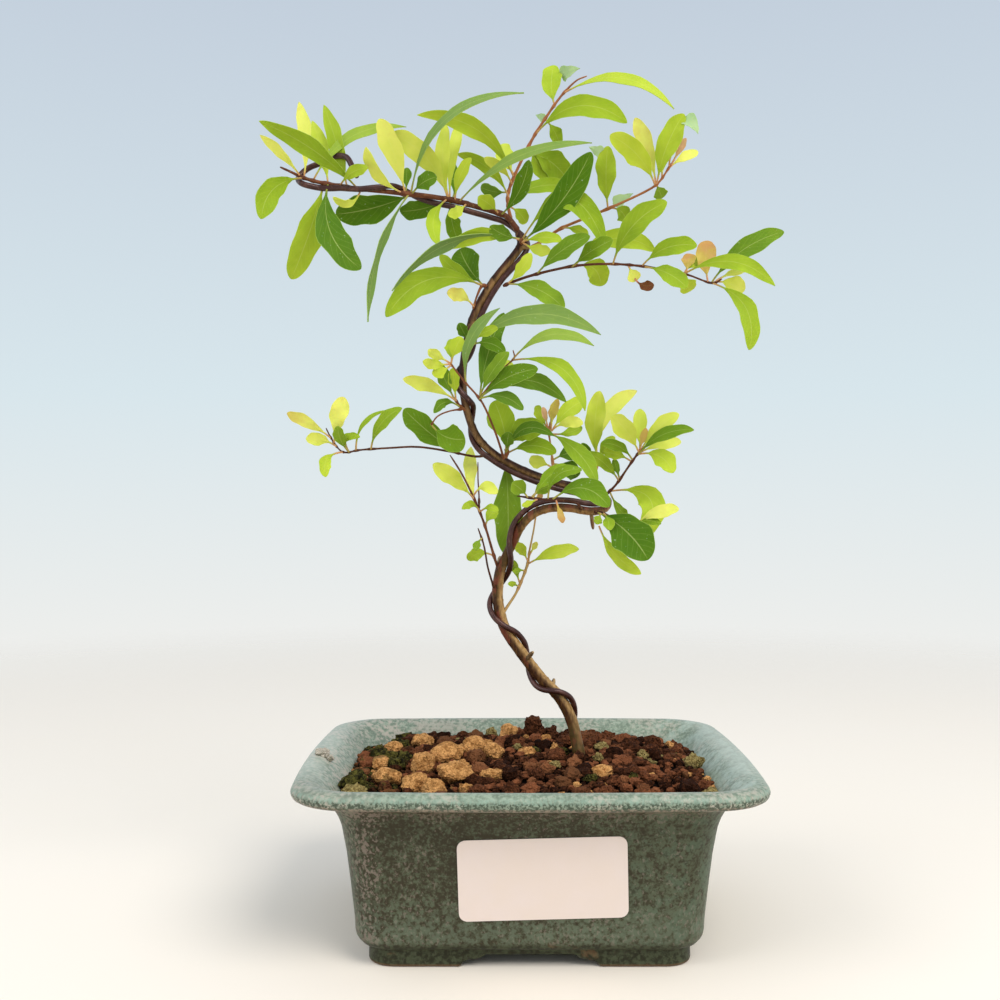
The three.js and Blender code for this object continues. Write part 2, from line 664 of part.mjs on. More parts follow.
/** A point of the crown's elevation, slid along its sight line to its depth. */
function place(column, row, depthUnits) {
  const depth = depthUnits * DEPTH_UNIT;
  const reach = SQUARE * (1 + depth / EYE.distance);
  const x = EYE.x + (column - PAPER_MIDDLE) * reach;
  const z = EYE.height + (PAPER_MIDDLE - row) * reach;
  return new THREE.Vector3(x, depth, z);
}

const EYE_POINT = new THREE.Vector3(EYE.x, -EYE.distance, EYE.height);

/** The direction from a point to the eye, made square to a tangent. */
function facing(point, tangent) {
  const sight = EYE_POINT.clone().sub(point).normalize();
  return sight.addScaledVector(tangent, -sight.dot(tangent)).normalize();
}

// ---------------------------------------------------------------- pot, screen, soil, label

/** A point on a rounded rectangle's outline: each corner's arc, then the next side's middle. */
function outlinePoint(step, halfWidth, halfDepth, radius) {
  const perCorner = CORNER_STEPS + 2;
  const corner = Math.floor(step / perCorner) % 4;
  const within = step % perCorner;
  if (within > CORNER_STEPS) {
    return [[0, halfDepth], [-halfWidth, 0], [0, -halfDepth], [halfWidth, 0]][corner];
  }
  const angle = (corner + within / CORNER_STEPS) * Math.PI / 2;
  const centreX = (halfWidth - radius) * (corner === 0 || corner === 3 ? 1 : -1);
  const centreY = (halfDepth - radius) * (corner < 2 ? 1 : -1);
  const [x, y] = [centreX + radius * Math.cos(angle), centreY + radius * Math.sin(angle)];
  const bow = THREE.MathUtils.clamp((halfWidth - BOW.start) / (BOW.full - BOW.start), 0, 1);
  return [x * (1 - BOW.x * bow * (y / halfDepth) ** 2), y * (1 - BOW.y * bow * (x / halfWidth) ** 2)];
}

/** A lathe turned round Z whose rings are drawn out into rounded rectangles, one for each station. */
function rectangularLathe(stations) {
  const around = 4 * (CORNER_STEPS + 2);
  const profile = stations.map(([halfWidth, , , height]) => new THREE.Vector2(halfWidth, height));
  const geometry = new THREE.LatheGeometry(profile, around);
  const position = geometry.attributes.position;
  for (let step = 0; step <= around; step += 1) {
    stations.forEach(([halfWidth, halfDepth, radius, height], index) => {
      const point = outlinePoint(step % around, halfWidth, halfDepth, radius);
      position.setXYZ(step * stations.length + index, point[0], point[1], height);
    });
  }
  return geometry;
}

/** The foot ring's cut, as an extruded bracket that runs right through the pot along one axis. */
function footCut(reach, alongX) {
  const { ground, top, height } = FOOT_CUT;
  const below = -1;
  const shape = new THREE.Shape();
  shape.moveTo(-ground, below);
  shape.lineTo(ground, below);
  shape.lineTo(ground, 0);
  shape.quadraticCurveTo(ground - 0.6, height * 0.5, ground - 3, height * 0.55);
  shape.quadraticCurveTo(top + 2, height * 0.6, top, height);
  shape.lineTo(-top, height);
  shape.quadraticCurveTo(-top - 2, height * 0.6, 3 - ground, height * 0.55);
  shape.quadraticCurveTo(0.6 - ground, height * 0.5, -ground, 0);
  const along = { depth: 2 * reach, bevelEnabled: false, curveSegments: 3 };
  const geometry = new THREE.ExtrudeGeometry(shape, along);
  geometry.rotateX(Math.PI / 2);
  geometry.translate(0, reach, 0);
  if (alongX) {
    geometry.scale(0.7, 1, 1);
    geometry.rotateZ(Math.PI / 2);
  }
  return toSolid(geometry);
}

function potGeometry() {
  const stations = [...POT_OUTSIDE, ...POT_INSIDE, ...POT_UNDERSIDE];
  const shell = toSolid(rectangularLathe([...stations, stations[0]]));
  return toGeometry(shell.subtract(footCut(70, false)).subtract(footCut(80, true)));
}

function screenGeometry() {
  const { side, thickness, holes, pitch, hole } = SCREEN;
  const middle = POT_FLOOR + CLEARANCE + thickness / 2;
  const plate = new THREE.BoxGeometry(side, side, thickness);
  plate.translate(0, 0, middle);
  let solid = toSolid(plate);
  for (let row = 0; row < holes; row += 1) {
    for (let column = 0; column < holes; column += 1) {
      const cutter = new THREE.BoxGeometry(hole, hole, 3 * thickness);
      cutter.translate((column - (holes - 1) / 2) * pitch, (row - (holes - 1) / 2) * pitch, middle);
      solid = solid.subtract(toSolid(cutter));
    }
  }
  return toGeometry(solid);
}

/** A broken granule: an icosahedron with its corners pushed in and out. */
function granule(x, y, z, radius, random) {
  const faceted = new THREE.IcosahedronGeometry(1, 0).deleteAttribute('normal').deleteAttribute('uv');
  const geometry = mergeVertices(faceted);
  const position = geometry.attributes.position;
  for (let corner = 0; corner < position.count; corner += 1) {
    const size = radius * (0.8 + 0.34 * random());
    position.setXYZ(corner, position.getX(corner) * size, position.getY(corner) * size,
      position.getZ(corner) * size * 0.86);
  }
  geometry.rotateX(random() * 3);
  geometry.rotateZ(random() * 3);
  geometry.translate(x, y, z);
  return toSolid(geometry);
}

/** The height of the soil, which is mounded up round the stem. */
function soilHeight(x, y) {
  const away = Math.hypot((x - MOUND.x) / 62, (y - MOUND.y) / 52);
  return SOIL_EDGE + MOUND.height * Math.max(1 - away * away, 0);
}

/** A block whose top is broken into granules: every second corner of its grid is a granule's crown. */
function granularBlock(random) {
  const { columns, rows, crown, hollow, shift } = GRANULES;
  const [width, depth] = [2 * SOIL_RING[0], 2 * SOIL_RING[1]];
  const [stepX, stepY] = [width / (2 * columns), depth / (2 * rows)];
  const geometry = new THREE.BoxGeometry(width, depth, 2, 2 * columns, 2 * rows, 1);
  const block = mergeVertices(geometry.deleteAttribute('normal').deleteAttribute('uv'));
  const position = block.attributes.position;
  for (let corner = 0; corner < position.count; corner += 1) {
    const [x, y] = [position.getX(corner), position.getY(corner)];
    const column = Math.round(x / stepX) + columns;
    const row = Math.round(y / stepY) + rows;
    if (position.getZ(corner) < 0) {
      position.setZ(corner, 0);
    } else {
      const isCrown = column % 2 === 1 && row % 2 === 1;
      const lift = (isCrown ? crown : hollow) * (0.5 + random());
      const inside = Math.abs(x) < width / 2 - 1 && Math.abs(y) < depth / 2 - 1;
      const move = inside ? shift : 0;
      const [newX, newY] = [x + move * (random() - 0.5), y + move * (random() - 0.5)];
      position.setXYZ(corner, newX, newY, soilHeight(x, y) + lift);
    }
  }
  return toSolid(block);
}

function soilGeometry(stem, wire) {
  const random = randomNumbers(SOIL_SEED);
  const inset = CLEARANCE + 0.05;
  const ringsBelow = POT_INSIDE.slice(POT_INSIDE.indexOf(SOIL_RING)).reverse();
  const walls = ringsBelow.map(([halfWidth, halfDepth, radius, height]) =>
    [halfWidth - inset, halfDepth - inset, radius - inset, height + (height === POT_FLOOR ? inset : 0)]);
  const last = walls[walls.length - 1];
  const above = [last[0], last[1], last[2], 70];
  const flat = 0.001;
  const bottom = [flat, flat, flat, POT_FLOOR + inset];
  const filling = toSolid(rectangularLathe([bottom, ...walls, above, [flat, flat, flat, 70], bottom]));
  const lumps = LUMPS.map(([x, y, radius]) => granule(x, y, soilHeight(x, y) + 0.5 * radius, radius, random));
  const [pocketSide, pocketDepth] = [SCREEN.side + 2, SCREEN.thickness + 2 * CLEARANCE];
  const pocket = new THREE.BoxGeometry(pocketSide, pocketSide, 2 * pocketDepth);
  pocket.translate(0, 0, POT_FLOOR);
  const soil = join([granularBlock(random).intersect(filling), ...lumps])
    .subtract(toSolid(pocket))
    .subtract(stem)
    .subtract(wire);
  return toGeometry(largestBody(soil));
}

/** A rounded rectangle with its front to -Y, leaned to the wall's slope. */
function labelGeometry() {
  const { width, height, corner, thickness, x, z, roll } = LABEL;
  const [right, top] = [width / 2, height / 2];
  const shape = new THREE.Shape();
  shape.moveTo(corner - right, -top);
  shape.lineTo(right - corner, -top);
  shape.absarc(right - corner, corner - top, corner, -Math.PI / 2, 0, false);
  shape.lineTo(right, top - corner);
  shape.absarc(right - corner, top - corner, corner, 0, Math.PI / 2, false);
  shape.lineTo(corner - right, top);
  shape.absarc(corner - right, top - corner, corner, Math.PI / 2, Math.PI, false);
  shape.lineTo(-right, corner - top);
  shape.absarc(corner - right, corner - top, corner, Math.PI, 1.5 * Math.PI, false);
  const flat = { depth: thickness, bevelEnabled: false, curveSegments: 4 };
  const geometry = new THREE.ExtrudeGeometry(shape, flat);
  const rise = WALL_TOP.height - WALL_FOOT.height;
  const lean = Math.atan2(WALL_TOP.halfDepth - WALL_FOOT.halfDepth, rise);
  const wall = WALL_FOOT.halfDepth + (z - WALL_FOOT.height) * Math.tan(lean);
  geometry.rotateZ(THREE.MathUtils.degToRad(roll));
  geometry.rotateX(Math.PI / 2 + lean);
  geometry.translate(x, -wall - CLEARANCE - 0.05, z);
  return toGeometry(toSolid(geometry));
}

// ---------------------------------------------------------------- stems, wire and leaves

function curveThrough(rows) {
  const points = rows.map(([column, row, depth]) => place(column, row, depth));
  return new THREE.CatmullRomCurve3(points, false, 'catmullrom', 0.5);
}

/** The value of one column of a table at a share of its length. */
function along(rows, share, column) {
  const at = share * (rows.length - 1);
  const index = Math.min(Math.floor(at), rows.length - 2);
  return THREE.MathUtils.lerp(rows[index][column], rows[index + 1][column], at - index);
}

/** A tapered round stem: a cylinder whose rings are set along the curve through its rows. */
function stemSolid(rows, sides = 6, perRow = 1, grow = 0) {
  const curve = curveThrough(rows);
  const steps = (rows.length - 1) * perRow;
  const geometry = new THREE.CylinderGeometry(1, 1, 1, sides, steps);
  const position = geometry.attributes.position;
  for (let index = 0; index < position.count; index += 1) {
    const share = 0.5 + position.getY(index);
    const tangent = curve.getTangent(share);
    const front = facing(curve.getPoint(share), tangent);
    const side = tangent.clone().cross(front);
    const radius = along(rows, share, 3) + grow;
    const point = curve.getPoint(share);
    point.addScaledVector(side, position.getX(index) * radius);
    point.addScaledVector(front, position.getZ(index) * radius);
    if (grow > 0) {
      const end = share < 0.001 ? -1 : (share > 0.999 ? 1 : 0);
      point.addScaledVector(tangent, end * grow);
    }
    position.setXYZ(index, point.x, point.y, point.z);
  }
  return toSolid(geometry);
}

function stubSolid([column, row, depth, endColumn, endRow, endDepth, radius], grow = 0) {
  const rows = [[column, row, depth, radius], [endColumn, endRow, endDepth, radius * 0.8]];
  return stemSolid(rows, 6, 1, grow);
}

function trunkSolid(grow = 0) {
  const stubs = STUBS.map((stub) => stubSolid(stub, grow));
  return join([stemSolid(LEADER, 6, 2, grow), ...stubs]);
}

/** The points of the wire: round the leader by its clock angle, then out to its hooked end. */
function wirePoints() {
  const rows = [...LEADER, ...TOP_LEFT];
  const curve = curveThrough(rows);
  const wound = rows.filter((row) => row[4] !== null).length;
  const points = [];
  const perRow = 3;
  for (let index = perRow; index <= (wound - 1) * perRow; index += 1) {
    const share = index / perRow / (rows.length - 1);
    const tangent = curve.getTangent(share);
    const front = facing(curve.getPoint(share), tangent);
    const side = tangent.clone().cross(front);
    const at = Math.min(Math.floor(index / perRow), wound - 2);
    const angle = THREE.MathUtils.degToRad(
      THREE.MathUtils.lerp(rows[at][4], rows[at + 1][4], index / perRow - at));
    const away = along(rows, share, 3) + WIRE.radius + WIRE.lift;
    points.push(curve.getPoint(share)
      .addScaledVector(side, Math.cos(angle) * away)
      .addScaledVector(front, Math.sin(angle) * away));
  }
  return [...points, ...WIRE_HOOK.map(([column, row, depth]) => place(column, row, depth))];
}

function wireSolid(grow = 0) {
  const path = new THREE.CatmullRomCurve3(wirePoints(), false, 'centripetal');
  const section = new THREE.Shape();
  section.absarc(0, 0, WIRE.radius + grow, 0, 2 * Math.PI, false);
  const geometry = new THREE.ExtrudeGeometry(section, {
    steps: WIRE.steps, extrudePath: path, bevelEnabled: false, curveSegments: WIRE.sides / 2,
  });
  return toSolid(geometry);
}

/** A closed loft of four-cornered rings (left edge, top, right edge, underside), its faces split alike. */
function loft(rings) {
  const corners = 4;
  const positions = rings.flat().flatMap((point) => point.toArray());
  const index = [];
  for (let ring = 0; ring < rings.length - 1; ring += 1) {
    for (let corner = 0; corner < corners; corner += 1) {
      const next = (corner + 1) % corners;
      const [a, b] = [ring * corners + corner, ring * corners + next];
      const [c, d] = [b + corners, a + corners];
      index.push(...(corner % 2 === 0 ? [a, b, c, a, c, d] : [a, b, d, b, c, d]));
    }
  }
  const last = (rings.length - 1) * corners;
  index.push(0, 2, 1, 0, 3, 2, last, last + 1, last + 2, last, last + 2, last + 3);
  const geometry = new THREE.BufferGeometry();
  geometry.setAttribute('position', new THREE.Float32BufferAttribute(positions, 3));
  geometry.setIndex(index);
  return toSolid(geometry);
}

/** A blade's width as a share of its greatest, at a share of its length: slim leaves are pointed. */
function bladeShape(share, slimness, age) {
  if (age < 0) {
    return Math.min(share / 0.1, 1) ** 0.5 * (1 - share ** 1.5);
  }
  const widest = age > 0.8 ? 0.58 : 0.5;
  if (share < widest) {
    return Math.sin(Math.PI / 2 * share / widest) ** 1.2;
  }
  const blunt = THREE.MathUtils.smoothstep(slimness, 0.2, 0.42);
  const beyond = (share - widest) / (1 - widest);
  return (1 - beyond ** (1.6 + 0.7 * blunt)) ** (0.9 - 0.35 * blunt);
}

/** A leaf: its stalk and its blade, folded a little along the midrib, on one bowed curve. */
function leafSolid([column, row, depth, tipColumn, tipRow, tipDepth, bow, width, turn, age]) {
  const base = place(column, row, depth);
  const tip = place(tipColumn, tipRow, tipDepth);
  const chord = tip.clone().sub(base);
  const length = chord.length();
  const middle = base.clone().lerp(tip, 0.5);
  const sight = EYE_POINT.clone().sub(middle).normalize();
  const left = sight.clone().cross(chord).normalize();
  const control = middle
    .addScaledVector(left, 2 * bow / 100 * length)
    .addScaledVector(sight, 2 * BLADE.bulge * length);
  const curve = new THREE.QuadraticBezierCurve3(base, control, tip);
  const stalkEnd = age < 0 ? 0.03 : Math.min(BLADE.stalkLength / length, 0.24);
  const longShares = length > 26 ? [0.08, 0.37, 0.79] : [0.25, 0.74];
  const shortShares = age < 0 ? [0.12] : [0.55];
  const shares = length > 12 ? longShares : shortShares;
  const stations = [
    [0, BLADE.stalk * 0.8],
    ...shares.map((share) => [
      stalkEnd + (1 - stalkEnd) * share,
      Math.max(width * SQUARE / 2 * bladeShape(share, width * SQUARE / length, age), BLADE.stalk),
    ]),
    [1, BLADE.tip],
  ];
  const angle = THREE.MathUtils.degToRad(turn);
  const rings = stations.map(([share, halfWidth]) => {
    const point = curve.getPoint(share);
    const tangent = curve.getTangent(share);
    const front = facing(point, tangent);
    const right = tangent.clone().cross(front);
    const side = right.clone().multiplyScalar(Math.cos(angle)).addScaledVector(front, Math.sin(angle));
    const up = front.clone().multiplyScalar(Math.cos(angle)).addScaledVector(right, -Math.sin(angle));
    const at = (across, lift) => point.clone()
      .addScaledVector(side, across * halfWidth)
      .addScaledVector(up, Math.abs(across) * halfWidth * BLADE.fold + lift * BLADE.thickness / 2);
    return [at(-1, 0), at(0, 1), at(1, 0), at(0, -1)];
  });
  return loft(rings);
}

/** A leafy stem: its twigs and its leaves in one body, trimmed clear of what it stands against. */
function leafyStem({ stems, leaves }, obstacles) {
  const twigs = stems.map((rows) => stemSolid(rows, 4));
  const whole = join([...twigs, ...leaves.map(leafSolid)]);
  return largestBody(obstacles.reduce((rest, obstacle) => rest.subtract(obstacle), whole));
}

// ---------------------------------------------------------------- the object

const bonsai = new THREE.Group();

function addPart(name, geometry, color, roughness, metalness = 0) {
  const material = new THREE.MeshStandardMaterial({ color, roughness, metalness });
  const mesh = new THREE.Mesh(geometry, material);
  mesh.name = name;
  bonsai.add(mesh);
}

const trunkClear = trunkSolid(CLEARANCE);
const wireClear = wireSolid(CLEARANCE);

addPart('pot', potGeometry(), 0x4f6b5c, 0.35);
addPart('drainage_mesh', screenGeometry(), 0x2c2c2c, 0.7);
addPart('soil', soilGeometry(trunkClear, wireClear), 0x4a2a20, 0.95);
addPart('plant_label', labelGeometry(), 0xeee4e0, 0.6);
addPart('trunk', toGeometry(largestBody(trunkSolid().subtract(wireClear))), 0x5e4230, 0.8);
addPart('training_wire', toGeometry(wireSolid()), 0x3a1d1a, 0.35, 0.6);

const LEAF_COLOURS = [0x5f9428, 0x7fae34, 0x6fa22c];
const obstacles = [trunkClear, wireClear];
Object.entries(STEMS).forEach(([name, stem], index) => {
  const solid = leafyStem(stem, obstacles);
  addPart(name, toGeometry(solid), LEAF_COLOURS[index % LEAF_COLOURS.length], 0.5);
  obstacles.push(...stem.stems.map((rows) => stemSolid(rows, 4, 1, CLEARANCE)));
});

export default bonsai;
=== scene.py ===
import math
import random

import bpy
import numpy as np
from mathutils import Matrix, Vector, noise


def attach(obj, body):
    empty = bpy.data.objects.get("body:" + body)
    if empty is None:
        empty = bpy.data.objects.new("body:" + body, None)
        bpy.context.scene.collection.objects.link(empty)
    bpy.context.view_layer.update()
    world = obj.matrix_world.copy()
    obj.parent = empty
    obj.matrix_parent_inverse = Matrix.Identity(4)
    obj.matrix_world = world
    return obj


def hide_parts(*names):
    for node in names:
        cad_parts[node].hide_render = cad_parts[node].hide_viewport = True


bl_info = {
    "name": "Pomegranate Bonsai",
    "version": (1, 0, 0),
    "blender": (4, 5, 0),
    "location": "3D View > Sidebar > Bonsai",
    "description": "Builds a wired young pomegranate bonsai in a glazed pot",
    "category": "Object",
}

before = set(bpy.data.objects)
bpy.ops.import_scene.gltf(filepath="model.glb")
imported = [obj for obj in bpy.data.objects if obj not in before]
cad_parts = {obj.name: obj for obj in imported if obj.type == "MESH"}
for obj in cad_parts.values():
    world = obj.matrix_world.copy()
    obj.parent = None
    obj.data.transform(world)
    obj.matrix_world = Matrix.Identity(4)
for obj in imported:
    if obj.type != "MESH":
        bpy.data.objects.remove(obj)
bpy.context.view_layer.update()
MM = 0.001

# ---------------------------------------------------------------- sizes and tables, in millimetres

# Pot rings: half the width, half the depth, corner radius and height.
POT_FLOOR = 8.6
POT_RATIO = 1.2
POT_FOOT = [(50.2, 44.0, 8.5, 0.0), (50.2, 44.0, 8.5, 0.5), (50.2, 44.0, 8.5, 5.2)]
POT_WALL = [
    (52.2, 45.8, 9.5, 6.0), (54.0, 47.0, 10.5, 8.3), (54.6, 47.4, 11.0, 14.0), (58.4, 50.2, 12.5, 42.0),
    (60.4, 51.8, 13.2, 46.6), (63.0, 53.4, 14.0, 49.2), (67.0, 56.4, 15.0, 50.8), (71.8, 60.2, 15.6, 51.4),
    (74.3, 62.0, 16.0, 52.3), (75.0, 62.5, 16.2, 54.3), (73.9, 61.6, 15.8, 56.1), (71.4, 59.4, 15.2, 56.8),
    (69.0, 57.2, 14.6, 56.4), (65.2, 53.8, 13.6, 54.4), (62.0, 50.8, 12.6, 51.3), (58.6, 48.0, 11.4, 47.6),
    (54.2, 45.2, 10.0, 34.0), (50.6, 42.5, 8.0, 12.0), (47.4, 39.0, 7.0, POT_FLOOR),
]
POT_UNDERSIDE = [
    (6.0, 6.0, 6.0, POT_FLOOR), (6.0, 6.0, 6.0, 5.0), (45.0, 38.0, 7.0, 5.0), (45.4, 38.4, 7.0, 0.0),
]
# The lip's bowed sides: half widths at which the bow starts and is full, and its share of x and of y.
BOW = (59.0, 71.0, 0.042, 0.036)
STEPS_PER_RING = 3
# The foot ring's bracket-shaped cut, from its foot to the middle of its top: X and height.
FOOT_CUT = [
    (21.4, 0), (21.0, 0.8), (20.3, 1.4), (19.4, 1.8), (18.2, 2.0), (16.8, 2.15), (15.4, 2.5), (13.6, 3.6),
]
CUT_DEPTH = 4
# The two bars that cut it: name, half length, width as a share of the first one's, and if it lies along X.
FOOT_CUTTERS = [("cut_front", 70, 1.0, False), ("cut_side", 80, 0.7, True)]
LABEL = {"x": 3.7, "z": 28.4, "width": 51.4, "height": 25.4, "corner": 2.6, "roll": math.radians(1.6)}
PAPER_THICKNESS = 0.16
# The wall behind the label: how far in front of the pot's middle it is, and its height.
WALL_FOOT = (47.4, 14.0)
WALL_TOP = (50.2, 42.0)

# The soil's height at its edge, its mound's X, Y and height, and the mound's reach along X and Y.
SOIL_EDGE = 50.2
MOUND = (6.0, 10.0, 4.4)
MOUND_REACH = (62, 52)
# The bed under the granules: half its width, half its depth, its corner radius and its thickness, how far it
# lies below the soil's height, and how uneven it is.
BED_SIZE = (60.7, 49.7, 12.0)
BED_THICKNESS = 1.6
BED_DROP, BED_RELIEF = 1.2, 0.5
# Where granules have room: half the width, half the depth and the corner radius inside the pot. Their middles
# are drawn from within the second line's X and Y.
STREWN = (60.6, 49.6, 12)
STREWN_X, STREWN_Y = 60, 49
# Nothing is strewn where the trunk stands: X, Y and the gap round its middle.
TRUNK_FOOT = (19.5, -1, 2.3)
# Ochre lumps: X, Y and radius.
OCHRE_LUMPS = [
    (-46, -21, 3.9), (-35, -9, 4.6), (-27, 0, 5.0), (-18.5, 8, 4.6), (-11.5, 0, 4.2), (-36, -30, 4.0),
    (-24, -22, 4.9), (-30, -37, 4.1), (-50, -1, 3.6), (-48, 19, 3.8), (-38, 29, 3.9), (-6, 37, 3.6),
]
# Kinds of granule, as the soil's material tells them apart.
BROWN, OCHRE, PALE, MOSSY, DRY = range(5)
# Where free granules are often mossy: left of an X, and round a spot. The last value is how many of them are.
MOSS_EDGE = (-42, 0.35)
MOSS_SPOT = (6, 6, 10, 0.25)
# Of the other free granules, how many are ochre, and how many are ochre or pale.
OCHRE_SHARE, PALE_SHARE = 0.04, 0.06
# Single bits that lie on the soil and the lip: X, Y, lift, radius and kind.
LOOSE_BITS = [
    (3.5, 36, 5.6, 3.1, BROWN), (4, 36, 2.0, 4.2, BROWN), (10, 38, 1.4, 3.6, BROWN), (-69, -7, 7.2, 2.0, DRY),
    (-66, -9.5, 6.0, 1.2, DRY), (-56, -26, 1.2, 4.4, MOSSY), (-52, 12, 1.4, 3.8, MOSSY),
    (-46, 24, 1.8, 3.6, MOSSY), (-55, -35, 0.8, 3.0, PALE), (10, 6, 1.2, 2.2, OCHRE),
    (13, 3, 1.0, 2.0, MOSSY), (24, -3, 1.0, 1.7, PALE), (9, -14, 1.2, 1.8, PALE), (40, 4, 0.8, 2.0, PALE),
    (20, -26, 1.0, 2.0, MOSSY), (3, -24, 1.0, 2.2, BROWN), (34, -22, 1.0, 1.6, MOSSY),
]

# The crown's elevation: an eye in front of the pot sees each point of it at a column and a row of squares.
EYE = Vector((-9.25, -402.0, 142.8))
SQUARE = 0.3436
DEPTH_UNIT = 1.45
PAPER_MIDDLE = 500
# Points of the wire to each row of the leader, and how far its centre line is from the bark.
WIRE_PER_ROW = 3
WIRE_AWAY = 1.12

# Leader: column, row, depth, radius and the wire's clock angle round it in degrees.
LEADER = [
    (581, 790, -1, 2, 250), (579, 756, -0.5, 2.05, 252), (576, 739, 0.2, 2, 258), (572, 722, 0.8, 2, 285),
    (565, 706, 1.2, 1.95, 352), (556, 693, 1.6, 1.95, 432), (543, 680, 2, 1.95, 530),
    (530, 664, 2.4, 1.95, 616), (518, 648, 2.8, 1.95, 700), (510, 637, 3, 1.9, 745),
    (503, 624, 3.2, 1.9, 815), (498.5, 606, 3.4, 1.9, 900), (497.5, 590, 3.4, 1.9, 985),
    (500.5, 570, 3, 1.8, 1070), (507, 555, 2.2, 1.6, 1130), (514, 540, 0.8, 1.55, 1200),
    (522, 525, -0.8, 1.5, 1255), (534, 513.5, -2.4, 1.5, 1260), (550, 508, -3.6, 1.45, 1260),
    (570, 508, -4.2, 1.4, 1260), (588, 511, -3.6, 1.4, 1258), (602, 510, -1, 1.35, 1255),
    (608, 503, 2.4, 1.35, 1250), (602, 494, 6, 1.35, 1245), (588, 489, 8, 1.3, 1240),
    (568, 485, 8.6, 1.3, 1235), (546, 479, 8, 1.3, 1232), (518, 468, 6.4, 1.3, 1230),
    (493, 453, 4.6, 1.3, 1232), (477, 436, 2.8, 1.3, 1300), (468, 414, 1, 1.3, 1400),
    (463.5, 392, 0, 1.3, 1550), (463, 370, 0.4, 1.3, 1670), (466, 346, 1.2, 1.3, 1795),
    (472, 320, 2, 1.3, 1810), (483, 297, 2.2, 1.35, 1825), (497, 276, 2.2, 1.35, 1830),
    (513, 257, 2.4, 1.4, 1815), (521, 244, 3, 1.4, 1780), (518, 231, 3.6, 1.3, 1710),
]
TOP_LEFT = [
    (507, 217, 3.4, 1.15, 1650), (492, 211, 2.8, 1.1, 1622), (474, 206, 2, 1.05, 1618),
    (456, 201, 1, 1, 1620), (437, 197.5, 0, 1, 1640), (418, 195, -1.2, 1, 1690),
    (400, 193, -2.4, 0.95, 1760), (380, 191, -3.4, 0.9, 1850), (360, 189, -4.4, 0.85, 1890),
    (340, 186, -5.4, 0.8, 1910), (320, 182.5, -6.4, 0.75, 1960), (304, 178, -7.2, 0.65, None),
    (291, 172, -7.8, 0.5, None), (280, 167, -8.2, 0.4, None),
]
WIRE_HOOK = [
    (303, 184, -7.5), (299, 177, -3.2), (308, 168.5, -2.2), (321, 163, -2.6), (335, 156.5, -4),
    (346, 157, -6), (352, 166, -7.6), (357, 177, -8.8),
]
# Pruned stubs: column, row and depth of each end, and the radius.
STUBS = [
    (500, 574, 3.2, 501.5, 556, 3.4, 1.5), (526, 660, 2.4, 533, 652, -1.4, 0.8),
    (552, 690, 1.8, 554, 679, 5.4, 0.8), (519, 532, -0.2, 512, 525, 0.6, 0.7),
    (591, 511, -3.2, 593, 529, -0.6, 0.7), (520, 246, 2.6, 530, 247.5, 3.4, 1.3),
]

